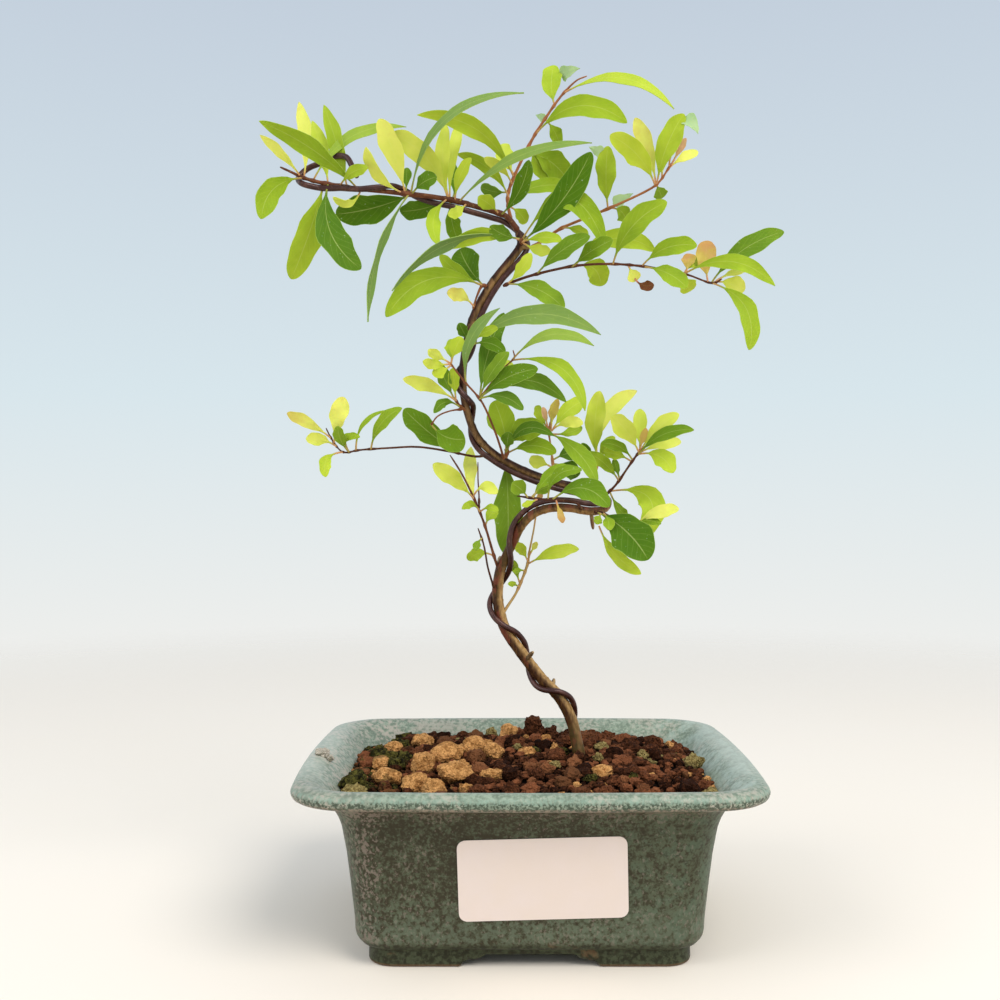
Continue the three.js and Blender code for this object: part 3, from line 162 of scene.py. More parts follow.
# Leafy stems: the rows of each twig, and the rows of the leaves. A twig row is column, row, depth and radius.
# A leaf row is column, row and depth of its base and of its tip, its bow to the left in hundredths of its
# length, its width in squares, its turn about its midrib in degrees, and its age: under 0 a folded tip, 0 an
# old dark leaf, 1 a young yellow one, 1.1 a bronze one, 1.2 a pink bud, 1.4 a dry one.
STEMS = {
    "stem_top_left": (
        [[LEADER[-1], *TOP_LEFT]],
        [(358, 189, -4.4, 259, 121, -17, -6, 20, 22, 0.5), (328, 184, -6.2, 361, 269, -15, -14, 28, 8, 0.1),
         (324, 183, -6.2, 291, 279, -3, 2, 27, 12, 0.62), (303, 178, -7.2, 261, 219, -16, -17, 23, 20, 0.5),
         (301, 177, -7.2, 260, 135, -15, -4, 10, 20, 0.95),
         (304, 178, -7.2, 299, 102, -6, -5, 14, 15, 0.95), (347, 187, -5.2, 324, 105, 0, -2, 17, 20, 0.58),
         (313, 181, -6.6, 406, 127, 7, 14, 13, 30, 0.55), (328, 184, -6, 312, 121, 4, -3, 16, 20, 0.75),
         (340, 186, -5.4, 368, 168, -12, 10, 12, 10, 0.6), (412, 194, -1.8, 336, 214, 4, 4, 30, 10, 0.08),
         (361, 189, -4.4, 333, 197, -11, 25, 9, 30, 0.85), (405, 193, -2.2, 379, 119, -9, -4, 21, 15, 0.95),
         (403, 193, -2.2, 366, 147, -13, 12, 13, 30, 0.9), (409, 194, -2, 368, 322, -10, -8, 15, 60, 0.3),
         (411, 194, -1.8, 524, 93, -14, 20, 17, 60, 0.35), (412, 194, -1.8, 437, 177, -7, 8, 17, 15, 0.15),
         (406, 193, -2, 407, 168, 1, 0, 10, 10, 0.2), (447, 199, 0.5, 400, 211, 5, 6, 20, 15, 0.12),
         (448, 199, 0.5, 392, 133, -7, -12, 22, 15, 0.88), (449, 199, 0.5, 446, 124, -2, 6, 15, 15, 0.85),
         (450, 199, 0.6, 463, 117, 3, 5, 13, 15, 0.85), (452, 200, 0.6, 449, 163, 7, -10, 14, 20, 0.25),
         (455, 201, 0.8, 471, 158, -5, 8, 12, 20, 0.7), (459, 202, 1, 592, 143, -11, 11, 13, 42, 0.4),
         (466, 204, 1.4, 448, 214, -7, 5, 12, 15, 0.8), (447, 199, 0.4, 439, 245, -10, -14, 15, 20, 0.6),
         (450, 199, 0.6, 458, 241, 6, -6, 17, 20, 0.3), (499, 214, 3, 478, 197, -3, -5, 16, 15, 0.65),
         (501, 215, 3, 529, 160, -9, -8, 17, 15, 0.1)],
    ),
    "stem_apex": (
        [[(511, 219, 3.6, 0.9), (508, 205, 4, 0.85), (509, 190, 4.2, 0.8), (518, 168, 4.4, 0.75),
          (533, 138, 4.6, 0.7), (549, 113, 4.8, 0.65), (562, 95, 5, 0.6), (576, 81, 5, 0.45),
          (587, 76, 5, 0.35)]],
        [(564, 93, 5, 674, 109, -4, 18, 15, 45, 0.7), (555, 107, 4.8, 554, 65.5, 9, 6, 21, 10, 0.6),
         (561, 76, 8, 580, 68.5, 4, 6, 16, 15, -0.3), (536, 134, 4.6, 627, 123, -5, 22, 22, 15, 0.55),
         (546, 119, 5, 536, 115, 8, 0, 10, 10, -0.3), (545, 119, 4.8, 559, 143, 9, 6, 14, 10, 0.5),
         (526, 152, 4.6, 568, 181, 12, 10, 27, 5, 0.5), (529, 146, 4.6, 549, 177, 9, -5, 20, 10, 0.55),
         (509, 200, 4, 568, 187, 9, 10, 16, 20, 0.5), (514, 178, 4.4, 417, 115, -6.5, -17, 19, 15, 0.65),
         (509, 198, 4, 457, 154, 4.5, -14, 14, 25, 0.6), (512, 184, 4.2, 484, 158, -3, -10, 12, 30, 0.85),
         (515, 176, 4.4, 503, 144, 9, 5, 18, 10, 0.8), (509, 192, 4.2, 481, 187, 10, 5, 14, 20, 0.3),
         (508, 206, 4, 526, 223, 9, 8, 14, 15, 0.6)],
    ),
    "stem_upper_right": (
        [[(531, 247.5, 3.6, 0.95), (544, 240, 4.2, 0.85), (560, 229, 3, 0.8), (583, 219, 1, 0.7),
          (605, 210, -1.6, 0.7), (630, 199, -3.6, 0.6), (650, 189, -5, 0.6), (660, 181, -6, 0.5),
          (670, 166, -6.6, 0.4), (675, 159, -7, 0.35)]],
        [(608, 209, -1.8, 608, 146, -9, 3, 20, 10, 0.6), (603, 153, -8, 589, 147, -8, 0, 13, 10, -0.3),
         (657, 184, -5.8, 684, 114, -12, 6, 22, 12, 0.62),
         (685, 117, -11.4, 698, 134, -14, 8, 15, 12, -0.3),
         (655, 185, -5.6, 610, 135, -12, -10, 22, 15, 0.75), (656, 184, -5.8, 635, 118, -5, -4, 16, 15, 1),
         (669, 168, -6.4, 671, 145, -8, 0, 5, 0, 1.2), (671, 165, -6.6, 686, 138, -9, 0, 7, 0, 1.2),
         (668, 169, -6.4, 698, 152, -4, 6, 10, 15, 0.95), (656, 183, -5.6, 662, 198, -2, 0, 14, 10, 0.4),
         (662, 178, -6, 662, 158, -4, 0, 7, 0, 0.95), (610, 208, -2, 626, 221, 1, 18, 16, 10, 0.5),
         (613, 204, -0.4, 633, 193.5, 1, 0, 14, 10, -0.3), (562, 228, 2.8, 588, 236, -2, 8, 10, 20, 0.6)],
    ),
    "stem_right": (
        [[(503, 286, 1.4, 0.8), (515, 281, 0.8, 0.75), (537, 274, 0, 0.7), (574, 266, -1, 0.65),
          (611, 264, -2, 0.6), (648, 267, -3, 0.55), (685, 274, -4, 0.5), (711, 283, -4.8, 0.45),
          (722, 279, -5.2, 0.4)]],
        [(537, 274, 0, 590, 236, -9, 6, 18, 20, 0.3), (572, 267, -1, 613, 240, -10, 4, 18, 20, 0.35),
         (575, 266, -1, 655, 251, 5, 22, 20, 10, 0.62), (613, 264, -2.2, 667, 202, -11, 12, 23, 12, 0.5),
         (573, 267, -0.8, 601, 286, 5, 25, 24, 5, 0.6), (642, 266, -2.8, 697, 246, -9, 14, 18, 15, 0.5),
         (645, 267, -3, 687, 288, -9, 8, 18, 15, 0.5), (682, 274, -4, 690, 291, 1, 0, 18, 5, 0.7),
         (684, 274, -4, 703, 261, 2, 10, 12, 10, 0.7), (628, 265, -2.4, 636, 281, -1, 0, 14, 15, 0.9),
         (635, 279, -1.4, 654, 285, -5, -15, 11, 20, 1.4), (708, 282, -4.8, 708, 241, 1, 4, 20, 10, 1.1),
         (686, 274, -4, 690, 254, -1, 0, 14, 10, 1.1), (712, 282, -4.8, 784, 232, -9, 10, 20, 15, 0.3),
         (684, 274, -4.2, 775, 286, -13, 19, 16, 15, 0.55),
         (712, 283, -4.8, 749, 350, -9, 21, 19, 20, 0.55), (714, 282, -4.8, 742, 293, -2, 12, 20, 5, 0.9),
         (716, 281, -5, 746, 270, -4, 6, 8, 20, 0.95), (508, 284, 1.2, 564, 309, -6, 10, 19, 12, 0.4),
         (506, 285, 1.4, 531, 253, -3, -6, 13, 15, 0.8)],
    ),
    "tuft_bend": (
        [[(522, 243, 2, 1), (521, 239, -0.2, 0.9)]],
        [(523, 241, 0.4, 591, 152, -9, -6, 27, 8, 0.06), (520, 239, 0.6, 392, 291, -12, -15, 15, 50, 0.15),
         (520, 240, 0.6, 447, 249, -7, -12, 16, 20, 0.6), (520, 239, 0.8, 490, 226, -5, 6, 16, 8, 0.22),
         (522, 242, 0.4, 562, 241, -6, 8, 12, 20, 0.6), (522, 242, 0.8, 551, 251, -2, -8, 12, 10, 0.8),
         (522, 240, 1.2, 605, 247, -5.4, 50, 22, 10, 0.45)],
    ),
    "tuft_left_upper": (
        [[(488, 287, 2, 0.9), (482, 286, 1.2, 0.8), (477, 296, 0.8, 0.55), (473, 309, 0.8, 0.45)]],
        [(484, 286, 1.4, 386, 317, -9, -20, 26, 12, 0.5), (474, 307, 0.8, 447, 293, -4, -12, 14, 10, 1),
         (484, 286, 1.8, 460, 249, 7, 5, 30, 10, 0.1), (483, 286, 1.4, 440, 255, 2, 6, 14, 15, 0.55)],
    ),
    "tuft_middle": (
        [[(468, 345, 0.8, 0.9), (471, 343, -1.6, 0.7)]],
        [(471, 343, -1.2, 601, 335, -11, 18, 20, 15, 0.35),
         (471, 345, -1.2, 505, 353, -6, 14, 13, 10, 0.15), (471, 342, -1, 498, 328, -5, 6, 10, 15, 0.6),
         (469, 343, -1, 459, 323, -5, 0, 11, 0, 0.1)],
    ),
    "stem_middle": (
        [[(504, 459, 3.6, 0.65), (497, 437, -1, 0.55), (487, 412, -4, 0.55), (479, 398, -5, 0.5),
          (465, 382, -6, 0.5), (450, 363, -6, 0.42)],
         [(481, 397, -5, 0.48), (492, 382, -5.2, 0.46), (505, 367, -6.2, 0.42), (514, 358, -7, 0.38),
          (513, 350, -7.2, 0.32)]],
        [(480, 396, -5, 509, 352, -12, 5, 14, 20, 0.35), (481, 397, -5, 538, 369, -13, 8, 19, 12, 0.2),
         (482, 396, -4.8, 566, 402, -8, 22, 17, 15, 0.25), (480, 395, -4.6, 504, 313, 3, 4, 20, 12, 0.15),
         (513, 359, -7, 594, 346, -15, 20, 13, 30, 0.5), (514, 360, -7, 585, 411, -14, 22, 16, 25, 0.55),
         (500, 373, -5.8, 512, 363, -2, 0, 14, 0, 0.8), (450, 363, -6, 428, 350, -9, 0, 10, 10, 0.9),
         (450, 364, -6, 423, 361, -12, 5, 11, 10, 0.8), (451, 365, -6, 432, 373, -9, 8, 12, 10, 0.75),
         (451, 364, -6, 462, 337, -8, 5, 14, 15, 0.7), (451, 365, -6, 449, 340, -3, -6, 12, 20, 0.6),
         (466, 382, -6, 500, 308, -12, 16, 12, 20, 0.3), (479, 399, -5, 523, 410, -9, 16, 13, 15, 0.2)],
    ),
    "tuft_left_middle": (
        [[(466, 410, 0.4, 0.8), (460, 406, -0.8, 0.6), (455, 399, -1.6, 0.5)],
         [(463, 409, -0.2, 0.5), (450, 411, -2.5, 0.42), (438, 416, -4, 0.4), (431, 425, -4, 0.4)]],
        [(455, 400, -1.6, 439, 364, -3, 2, 14, 10, 0.3), (456, 401, -1.6, 453, 368, -3.5, 0, 12, 15, 0.65),
         (455, 400, -1.6, 403, 379, -8, -6, 14, 12, 0.9), (460, 407, -0.8, 434, 413, -7, -22, 10, 20, 0.2),
         (431, 424, -4, 465, 439, 1, -14, 28, 5, 0.3)],
    ),
    "stem_left": (
        [[(491, 454.5, 5.2, 0.75), (478, 456.5, 6.5, 0.65), (466, 455, 5.5, 0.6), (452, 452, 3.5, 0.55),
          (419, 447, 0, 0.55), (389, 448, -2.5, 0.5), (360, 450, -4.5, 0.45), (345, 452.5, -5.5, 0.4),
          (337, 447, -6, 0.38), (330, 436, -6.5, 0.35), (326, 428, -7, 0.33)]],
        [(458, 453, 4.4, 404, 409, 3, 3, 24, 10, 0.25), (371, 449, -4, 402, 408, -10, 12, 13, 20, 0.45),
         (356, 450, -4.8, 388, 410, -5, 20, 5, 20, 0.5), (349, 452, -5.4, 338, 426, -10, 8, 12, 15, 0.4),
         (349, 452, -5.2, 360, 437, -8, 45, 8, 15, 0.5), (334, 443, -6.2, 344, 397, -9, 3, 18, 10, 0.95),
         (331, 438, -6.4, 287, 413, -10, -4, 12, 15, 1), (336, 446, -6.2, 306, 439, -12, -8, 13, 12, 0.9),
         (343, 452, -5.6, 326, 477, -9, -28, 12, 12, 0.7)],
    ),
    "tuft_centre": (
        [[(504, 462, 5.6, 1), (507, 453, 5, 0.9), (507, 447, 4.6, 0.6)],
         [(506, 450, 5, 0.7), (506, 450, 7.6, 0.65), (505, 457, 9.4, 0.55)]],
        [(507, 451, 4.6, 554, 436, -8, 22, 13, 15, 0.12), (506, 452, 4.4, 509, 432, 1, 0, 14, 10, 0.2),
         (506, 451, 4.8, 494, 401, 6, -6, 28, 5, 0.55), (507, 451, 4.8, 545, 430, 0, 22, 24, 8, 0.5),
         (508, 453, 5, 556, 453, 0, 14, 17, 10, 0.45), (505, 456, 9.2, 507, 555, 8.5, 2, 30, 6, 0.35)],
    ),
    "stem_centre": (
        [[(552, 482, 8, 0.7), (553, 468, 6.4, 0.6), (551, 448, 4.6, 0.5), (549, 432, 3.4, 0.45),
          (551, 420, 3, 0.38)]],
        [(549, 433, 3.4, 597, 483, -10, 8, 18, 12, 0.45), (548, 428, 3.2, 543, 407, 2, 0, 6, 0, 1.2),
         (551, 424, 3, 551, 408, 2, 0, 6, 0, 1.2), (551, 430, 3.2, 558, 399, -1, 4, 9, 10, 1.05),
         (548, 430, 3.4, 536, 406, 7, 0, 11, 10, 0.65), (552, 431, 3.4, 585, 400, 8, 8, 17, 10, 0.7),
         (551, 431, 3.2, 583, 424, 0, 14, 12, 12, 0.9), (552, 434, 3.6, 582, 427, 6, -8, 10, 15, 0.55),
         (553, 464, 6, 577, 477, 11, 10, 18, 10, 0.1), (553, 460, 5.8, 578, 452, 9, 6, 17, 10, 0.12),
         (553, 468, 6.4, 529, 461, 6, -8, 14, 10, 0.85)],
    ),
    "stem_uprights": (
        [[(592, 490, 7.8, 0.6), (595, 478, 7.6, 0.55), (597, 465, 7.2, 0.5), (597, 454, 6.8, 0.42)]],
        [(597, 460, 7, 600, 391, 3, 5, 20, 10, 0.8), (597, 456, 7, 637, 391, 9, 18, 17, 12, 0.95),
         (596, 467, 7.2, 582, 443, 4, 0, 10, 10, 0.15), (598, 464, 7.2, 615, 437, 4, 8, 12, 15, 0.6)],
    ),
    "twig_horizontal": (
        [[(582, 509, -4.8, 0.65), (576, 503, -7.4, 0.6), (560, 500, -8.2, 0.55), (540, 499, -8.6, 0.5),
          (517, 496, -9, 0.45)]],
        [(552, 500, -8.4, 609, 507, -13, 26, 22, 10, 0.3),
         (548, 500, -8.4, 582, 470, -13, 25, 12, 10, 0.35),
         (528, 498, -8.8, 512, 483, -12, -6, 16, 10, 0.4), (531, 498, -8.8, 549, 487, -6, 8, 12, 10, 0.45),
         (533, 498, -8.8, 566, 465, -9, 8, 13, 15, 0.4), (556, 500, -8.4, 563, 523, -9, 0, 7, 10, 1.1),
         (538, 499, -8.6, 522, 506, -10, 0, 6, 10, 0.7)],
    ),
    "stem_right_cluster": (
        [[(603, 497, 5.6, 0.75), (610, 491, 4.6, 0.65), (618, 482, 3.4, 0.6), (631, 463, 1.6, 0.55),
          (639, 452, 0.6, 0.5)]],
        [(639, 453, 0.6, 612, 416, -5, -6, 20, 10, 0.85), (640, 452, 0.6, 640, 409, 3, 0, 15, 10, 0.8),
         (640, 452, 0.6, 679, 414, -4, 8, 15, 12, 0.85), (638, 455, 0.8, 694, 430, -8, 12, 14, 25, 0.3),
         (639, 454, 0.8, 673, 473, -5, 18, 19, 10, 0.7), (639, 453, 0.8, 681, 442, 4, 6, 12, 10, 0.9),
         (639, 452, 0.6, 646, 428, -2, 0, 7, 0, 1.1), (633, 461, 1.6, 601, 443, -3, -14, 12, 20, 0.35),
         (632, 462, 1.6, 603, 452, 1, -8, 12, 12, 0.6), (619, 481, 3.4, 588, 452, -3, -6, 13, 12, 0.5),
         (620, 480, 3.2, 614, 459, 2, 0, 8, 15, 0.35), (611, 491, 4.6, 645, 537, -4, 40, 26, 8, 0.65),
         (610, 492, 4.6, 629, 520, 6, -6, 10, 15, 0.4)],
    ),
    "stem_right_low": (
        [[(594, 512, -4.4, 0.65), (602, 513, -5.2, 0.6), (612, 517, -5.6, 0.55), (624, 521, -6, 0.5),
          (634, 526, -6.2, 0.42)]],
        [(634, 525, -6.2, 679, 509, -10, 8, 13, 10, 0.95), (633, 526, -6.2, 661, 524, -9, 14, 8, 15, 0.4),
         (603, 513, -5.2, 608, 530, -10, 10, 12, 10, 0.5), (601, 513, -5.2, 596, 524, -8, 0, 9, 10, 0.55),
         (597, 512, -4.8, 648, 560, -12, 8, 38, 5, 0.08), (599, 526, -6.2, 641, 574, -8, -10, 14, 10, 0.75)],
    ),
    "stem_left_low": (
        [[(498, 568, 3, 0.8), (494, 556, 1.6, 0.7), (485, 526, 0.2, 0.6), (476, 503, 0, 0.55),
          (463, 476, 0.2, 0.5), (450, 455, 0.4, 0.42)],
         [(479, 508, 0.2, 0.45), (479, 496, 1.4, 0.4), (478, 478, 3, 0.35), (478, 462, 4.4, 0.32)]],
        [(474, 499, 0, 433, 464, -7, -4, 17, 10, 0.85), (473, 497, 0, 497, 494, -4, 30, 12, 10, 0.9),
         (480, 512, 0, 462, 509, -6, -20, 8, 15, 0.6), (480, 512, 0, 498, 512, -3, 20, 8, 15, 0.6),
         (485, 527, 0.2, 497, 509, 3, 8, 12, 10, 0.6), (494, 556, 1.6, 468, 560, 4, -18, 13, 10, 0.6),
         (475, 501, 0, 471, 447, 13, 3, 14, 10, 0.95)],
    ),
    "stem_left_thin": (
        [[(494, 588, 2, 0.6), (488, 568, -0.8, 0.5), (484, 546, -2.4, 0.45), (478, 528, -2.8, 0.4)]],
        [(482, 538, -2.6, 475, 550, -5, -6, 8, 10, 0.4)],
    ),
    "shoot_low": (
        [[(503, 613, 3.4, 0.9), (509, 604, 4, 0.75), (517, 591, 4.6, 0.65), (527, 566, 5, 0.6),
          (530, 548, 5.4, 0.5), (534, 528, 5.8, 0.45), (538, 500, 5.6, 0.4)]],
        [(528, 564, 5, 579, 549, -2, 6, 14, 10, 0.75), (528, 562, 5, 516, 543, 4.4, -6, 11, 12, 0.75),
         (520, 584, 4.8, 513, 560, 4.8, 0, 8, 15, 0.6), (519, 587, 4.6, 508, 584, 1, -8, 6, 15, 0.6),
         (525, 571, 5, 513, 572, 2, -8, 6, 15, 0.5), (530, 554, 5.2, 537, 542, 4, 0, 6, 0, 0.95),
         (537, 506, 5.6, 541, 492, 4, 0, 6, 0, 1.1)],
    ),
}


# ---------------------------------------------------------------- settings a user would change


def colour(text):
    """A colour written as six hexadecimal digits, as the linear values that the renderer works in."""
    parts = [int(text[place:place + 2], 16) / 255 for place in (0, 2, 4)]
    return tuple(part / 12.92 if part < 0.04045 else ((part + 0.055) / 1.055) ** 2.4 for part in parts)


def tint(name, description, text):
    return bpy.props.FloatVectorProperty(
        name=name, description=description, default=colour(text), subtype="COLOR", size=3, min=0, max=1)


def count(name, description, default):
    return bpy.props.IntProperty(name=name, description=description, default=default, min=1)


def length(name, description, default):
    return bpy.props.FloatProperty(
        name=name, description=description, default=default * MM, min=0, unit="LENGTH", precision=5)


def strength(name, description, default):
    return bpy.props.FloatProperty(name=name, description=description, default=default, min=0)


def group(name, description, settings):
    return bpy.props.PointerProperty(type=settings, name=name, description=description)


class PotSettings(bpy.types.PropertyGroup):
    corner_steps: count("Corner Steps", "Faces round each corner of the pot", 10)
    side_steps: count("Side Steps", "Faces along each side of the pot", 8)
    edge_round: length("Edge Rounding", "Rounding of the foot's edges", 0.5)
    glaze_dark: tint("Dark Glaze", "The body's ground colour", "393425")
    glaze_teal: tint("Teal Glaze", "The mottled green of the body", "565d48")
    glaze_light: tint("Light Glaze", "The pale green of the lip", "9ba893")
    glaze_ash: tint("Ash Specks", "The pinkish grey specks", "85766a")
    clay: tint("Clay", "The bare clay of the foot's edge", "7a5a3e")
    paper: tint("Label Paper", "The blank label's face", "e4d2c6")


class SoilSettings(bpy.types.PropertyGroup):
    clods: count("Clods", "How many coarse granules lie on the soil", 130)
    granules: count("Granules", "How many middling granules lie on the soil", 640)
    crumbs: count("Crumbs", "How many fine granules lie on the soil", 800)
    # Earth also colours the painted shade low between the granules and on the bed under them.
    earth_and_shade: tint("Earth", "The soil under the granules", "0c0603")
    granule_dark: tint("Dark Granule", "Colour of the damp granules", "2c1407")
    granule_red: tint("Red Granule", "Colour of the drier granules", "965a39")
    ochre: tint("Ochre Lump", "Colour of the pale lumps", "f0b06c")
    moss: tint("Moss", "Colour of the moss and algae", "665f2b")


class CrownSettings(bpy.types.PropertyGroup):
    leaf_steps: count("Leaf Steps", "Faces along a leaf", 20)
    twig_sides: count("Twig Sides", "Faces round a twig", 8)
    trunk_sides: count("Trunk Sides", "Faces round the trunk", 18)
    wire_radius: length("Wire Radius", "Radius of the training wire", 1.0)
    blade_middle: length("Midrib Thickness", "Thickness of a leaf at its midrib", 0.62)
    blade_edge: length("Edge Thickness", "Thickness of a leaf at its edge", 0.22)
    leaf_old: tint("Old Leaf", "Colour of the dark leaves", "40660a")
    leaf_middle: tint("Leaf", "Colour of the grown leaves", "94ac29")
    leaf_young: tint("Young Leaf", "Colour of the youngest leaves", "dedf68")
    bark: tint("Bark", "Colour of the upper trunk", "45251a")
    bark_low: tint("Low Bark", "Colour of the lower trunk", "5a3a19")
    wire: tint("Wire", "Colour of the training wire", "3b1a14")


class StageSettings(bpy.types.PropertyGroup):
    floor: tint("Floor", "Colour of the floor", "fdf0df")
    sky: tint("Upper Air", "Colour of the surroundings high up", "c1cddb")
    air: tint("Middle Air", "Colour of the surroundings above the floor", "d8e6ec")
    haze: tint("Lower Air", "Colour of the surroundings at the floor's far edge", "f6f2ec")
    glow: strength("Glow", "Strength of the light of the surroundings", 1.0)
    key_power: strength("Key Light", "Power of the main soft light in watts", 12.5)
    fill_power: strength("Fill Light", "Power of the second soft light in watts", 5.0)


class BonsaiSettings(bpy.types.PropertyGroup):
    pot: group("Pot", "The pot and its label", PotSettings)
    soil: group("Soil", "The soil and its granules", SoilSettings)
    crown: group("Crown", "Trunk, wire, stems and leaves", CrownSettings)
    stage: group("Stage", "Floor, light and camera", StageSettings)


# ---------------------------------------------------------------- materials


def rgba(value):
    """A tint, or a colour written as hexadecimal digits, with its opacity."""
    return (*(colour(value) if isinstance(value, str) else tuple(value)[:3]), 1.0)


def arithmetic(operation, swapped=False):
    """A method for one of Python's operators, which adds a Math node; swapped puts the value second."""

    def method(self, other):
        return self.maths(operation, *((other, self) if swapped else (self, other)))

    return method


class Value:
    """A socket of a material's nodes: Python's arithmetic on it adds Math nodes."""

    __add__, __radd__ = arithmetic("ADD"), arithmetic("ADD", swapped=True)
    __sub__, __rsub__ = arithmetic("SUBTRACT"), arithmetic("SUBTRACT", swapped=True)
    __mul__, __rmul__ = arithmetic("MULTIPLY"), arithmetic("MULTIPLY", swapped=True)
    __truediv__ = arithmetic("DIVIDE")

    def __init__(self, nodes, socket):
        self.nodes = nodes
        self.socket = socket

    def maths(self, operation, *inputs):
        return self.nodes.add("ShaderNodeMath", {"operation": operation}, dict(enumerate(inputs)))

    def __abs__(self):
        return self.maths("ABSOLUTE", self)

    def wrapped(self):
        """The part after the decimal point."""
        return self.maths("FRACT", self)

    def between(self, low, high):
        """0 below low, 1 above high and smooth between them; a high below low turns it round."""
        settings = {"interpolation_type": "SMOOTHSTEP"}
        ends = (low, high, 0.0, 1.0) if low < high else (high, low, 1.0, 0.0)
        return self.nodes.add("ShaderNodeMapRange", settings, dict(enumerate([self, *ends])))

    def between_mm(self, low, high):
        """The same between two places in millimetres."""
        return self.between(low * MM, high * MM)


class Nodes:
    """A tree of shader nodes."""

    def __init__(self, tree):
        self.tree = tree

    def add(self, kind, settings=None, inputs=None, output=0):
        node = self.tree.nodes.new(kind)
        for setting, value in (settings or {}).items():
            setattr(node, setting, value)
        for socket, value in (inputs or {}).items():
            self.feed(node.inputs[socket], value)
        return Value(self, node.outputs[output])

    def feed(self, socket, value):
        if isinstance(value, Value):
            self.tree.links.new(value.socket, socket)
        else:
            socket.default_value = rgba(value) if socket.type == "RGBA" else value

    def parts(self, vector):
        """The X, Y and Z of a vector."""
        split = self.add("ShaderNodeSeparateXYZ", inputs={0: vector}).socket.node
        return [Value(self, output) for output in split.outputs]

    def ramp(self, share, *stops):
        """Colours that run from one stop, a position and a colour, to the next."""
        ramp = self.add("ShaderNodeValToRGB", inputs={0: share})
        elements = ramp.socket.node.color_ramp.elements
        while len(elements) < len(stops):
            elements.new(1.0)
        for element, (position, stop) in zip(elements, stops):
            element.position = position
            element.color = rgba(stop)
        return ramp


class Recipe(Nodes):
    """The nodes of one material, round its Principled shader."""

    def __init__(self, name, **constants):
        self.material = bpy.data.materials.new(name)
        self.material.use_nodes = True
        super().__init__(self.material.node_tree)
        self.shader = self.tree.nodes["Principled BSDF"]
        self.feed_shader(constants)
        self.here = self.add("ShaderNodeTexCoord", output="Object")

    def feed_shader(self, values):
        for socket, value in values.items():
            self.feed(self.shader.inputs[socket.replace("_", " ")], value)

    def noise(self, scale, detail=4.0, roughness=0.6, stretch=None):
        """Noise at the piece's own coordinates; a stretch below 1 draws it out along that axis."""
        vector = self.here
        if stretch:
            vector = self.add("ShaderNodeVectorMath", {"operation": "MULTIPLY"}, {0: vector, 1: stretch})
        inputs = {"Vector": vector, "Scale": scale, "Detail": detail, "Roughness": roughness}
        return self.add("ShaderNodeTexNoise", inputs=inputs)

    def attribute(self, name):
        return self.add("ShaderNodeAttribute", {"attribute_name": name}, output="Fac")

    def mix(self, share, first, second):
        """The first colour at a share of 0 and the second at 1."""
        return self.add("ShaderNodeMix", {"data_type": "RGBA"}, {0: share, 6: first, 7: second}, 2)

    def layered(self, base, *layers):
        """Lays colours over a base, one after the other, each by its share."""
        for share, layer in layers:
            base = self.mix(share, base, layer)
        return base

    def finish(self, base, roughness, relief=None, depth=0.1, **others):
        self.feed_shader({"Base Color": base, "Roughness": roughness, **others})
        if relief is not None:
            inputs = {"Height": relief, "Strength": 1.0, "Distance": depth * MM}
            self.feed_shader({"Normal": self.add("ShaderNodeBump", inputs=inputs)})
        return self.material


# ---------------------------------------------------------------- modelling


def clamped(value):
    return min(max(value, 0.0), 1.0)


def alone(piece):
    """Leaves only this piece selected, and active."""
    bpy.ops.object.select_all(action="DESELECT")
    piece.select_set(True)
    bpy.context.view_layer.objects.active = piece


def edited(piece, *steps):
    """Runs mesh operators, each with its settings, on the whole of a piece."""
    alone(piece)
    bpy.ops.object.mode_set(mode="EDIT")
    bpy.ops.mesh.select_all(action="SELECT")
    for operator, settings in steps:
        operator(**settings)
    bpy.ops.object.mode_set(mode="OBJECT")
    return piece


def shaped_grid(name, across, along, at):
    """A grid whose corners go where at(share across, share along) says, in millimetres."""
    bpy.ops.object.select_all(action="DESELECT")
    bpy.ops.mesh.primitive_grid_add(x_subdivisions=across, y_subdivisions=along, size=1, location=(0, 0, 0))
    piece = bpy.context.object
    piece.name = piece.data.name = name
    for corner in piece.data.vertices:
        corner.co = at(corner.co.x + 0.5, corner.co.y + 0.5) * MM
    return piece


def closed(piece):
    """Merges a rolled grid's seam, caps its ends and turns its faces outwards."""
    return edited(
        piece, (bpy.ops.mesh.remove_doubles, {"threshold": 1e-6}), (bpy.ops.mesh.fill_holes, {"sides": 0}),
        (bpy.ops.mesh.normals_make_consistent, {"inside": False}))


def block_under(sheet, depth):
    """Draws an open sheet straight down into a closed block."""
    down = {"value": (0, 0, -depth * MM)}
    return closed(edited(sheet, (bpy.ops.mesh.extrude_region_move, {"TRANSFORM_OT_translate": down})))


def modified(piece, kind, **settings):
    """Adds a modifier, sets it and applies it."""
    alone(piece)
    bpy.ops.object.modifier_add(type=kind)
    modifier = piece.modifiers[-1]
    for setting, value in settings.items():
        setattr(modifier, setting, value)
    bpy.ops.object.modifier_apply(modifier=modifier.name)
    return piece


def copied(master, name):
    """A copy of a master piece with a mesh of its own."""
    piece = master.copy()
    piece.data = master.data.copy()
    piece.name = piece.data.name = name
    bpy.context.collection.objects.link(piece)
    return piece


def joined(name, pieces):
    bpy.ops.object.select_all(action="DESELECT")
    for piece in pieces:
        piece.select_set(True)
    bpy.context.view_layer.objects.active = pieces[0]
    bpy.ops.object.join()
    whole = bpy.context.view_layer.objects.active
    whole.name = whole.data.name = name
    return whole


def removed(piece):
    alone(piece)
    bpy.ops.object.delete()


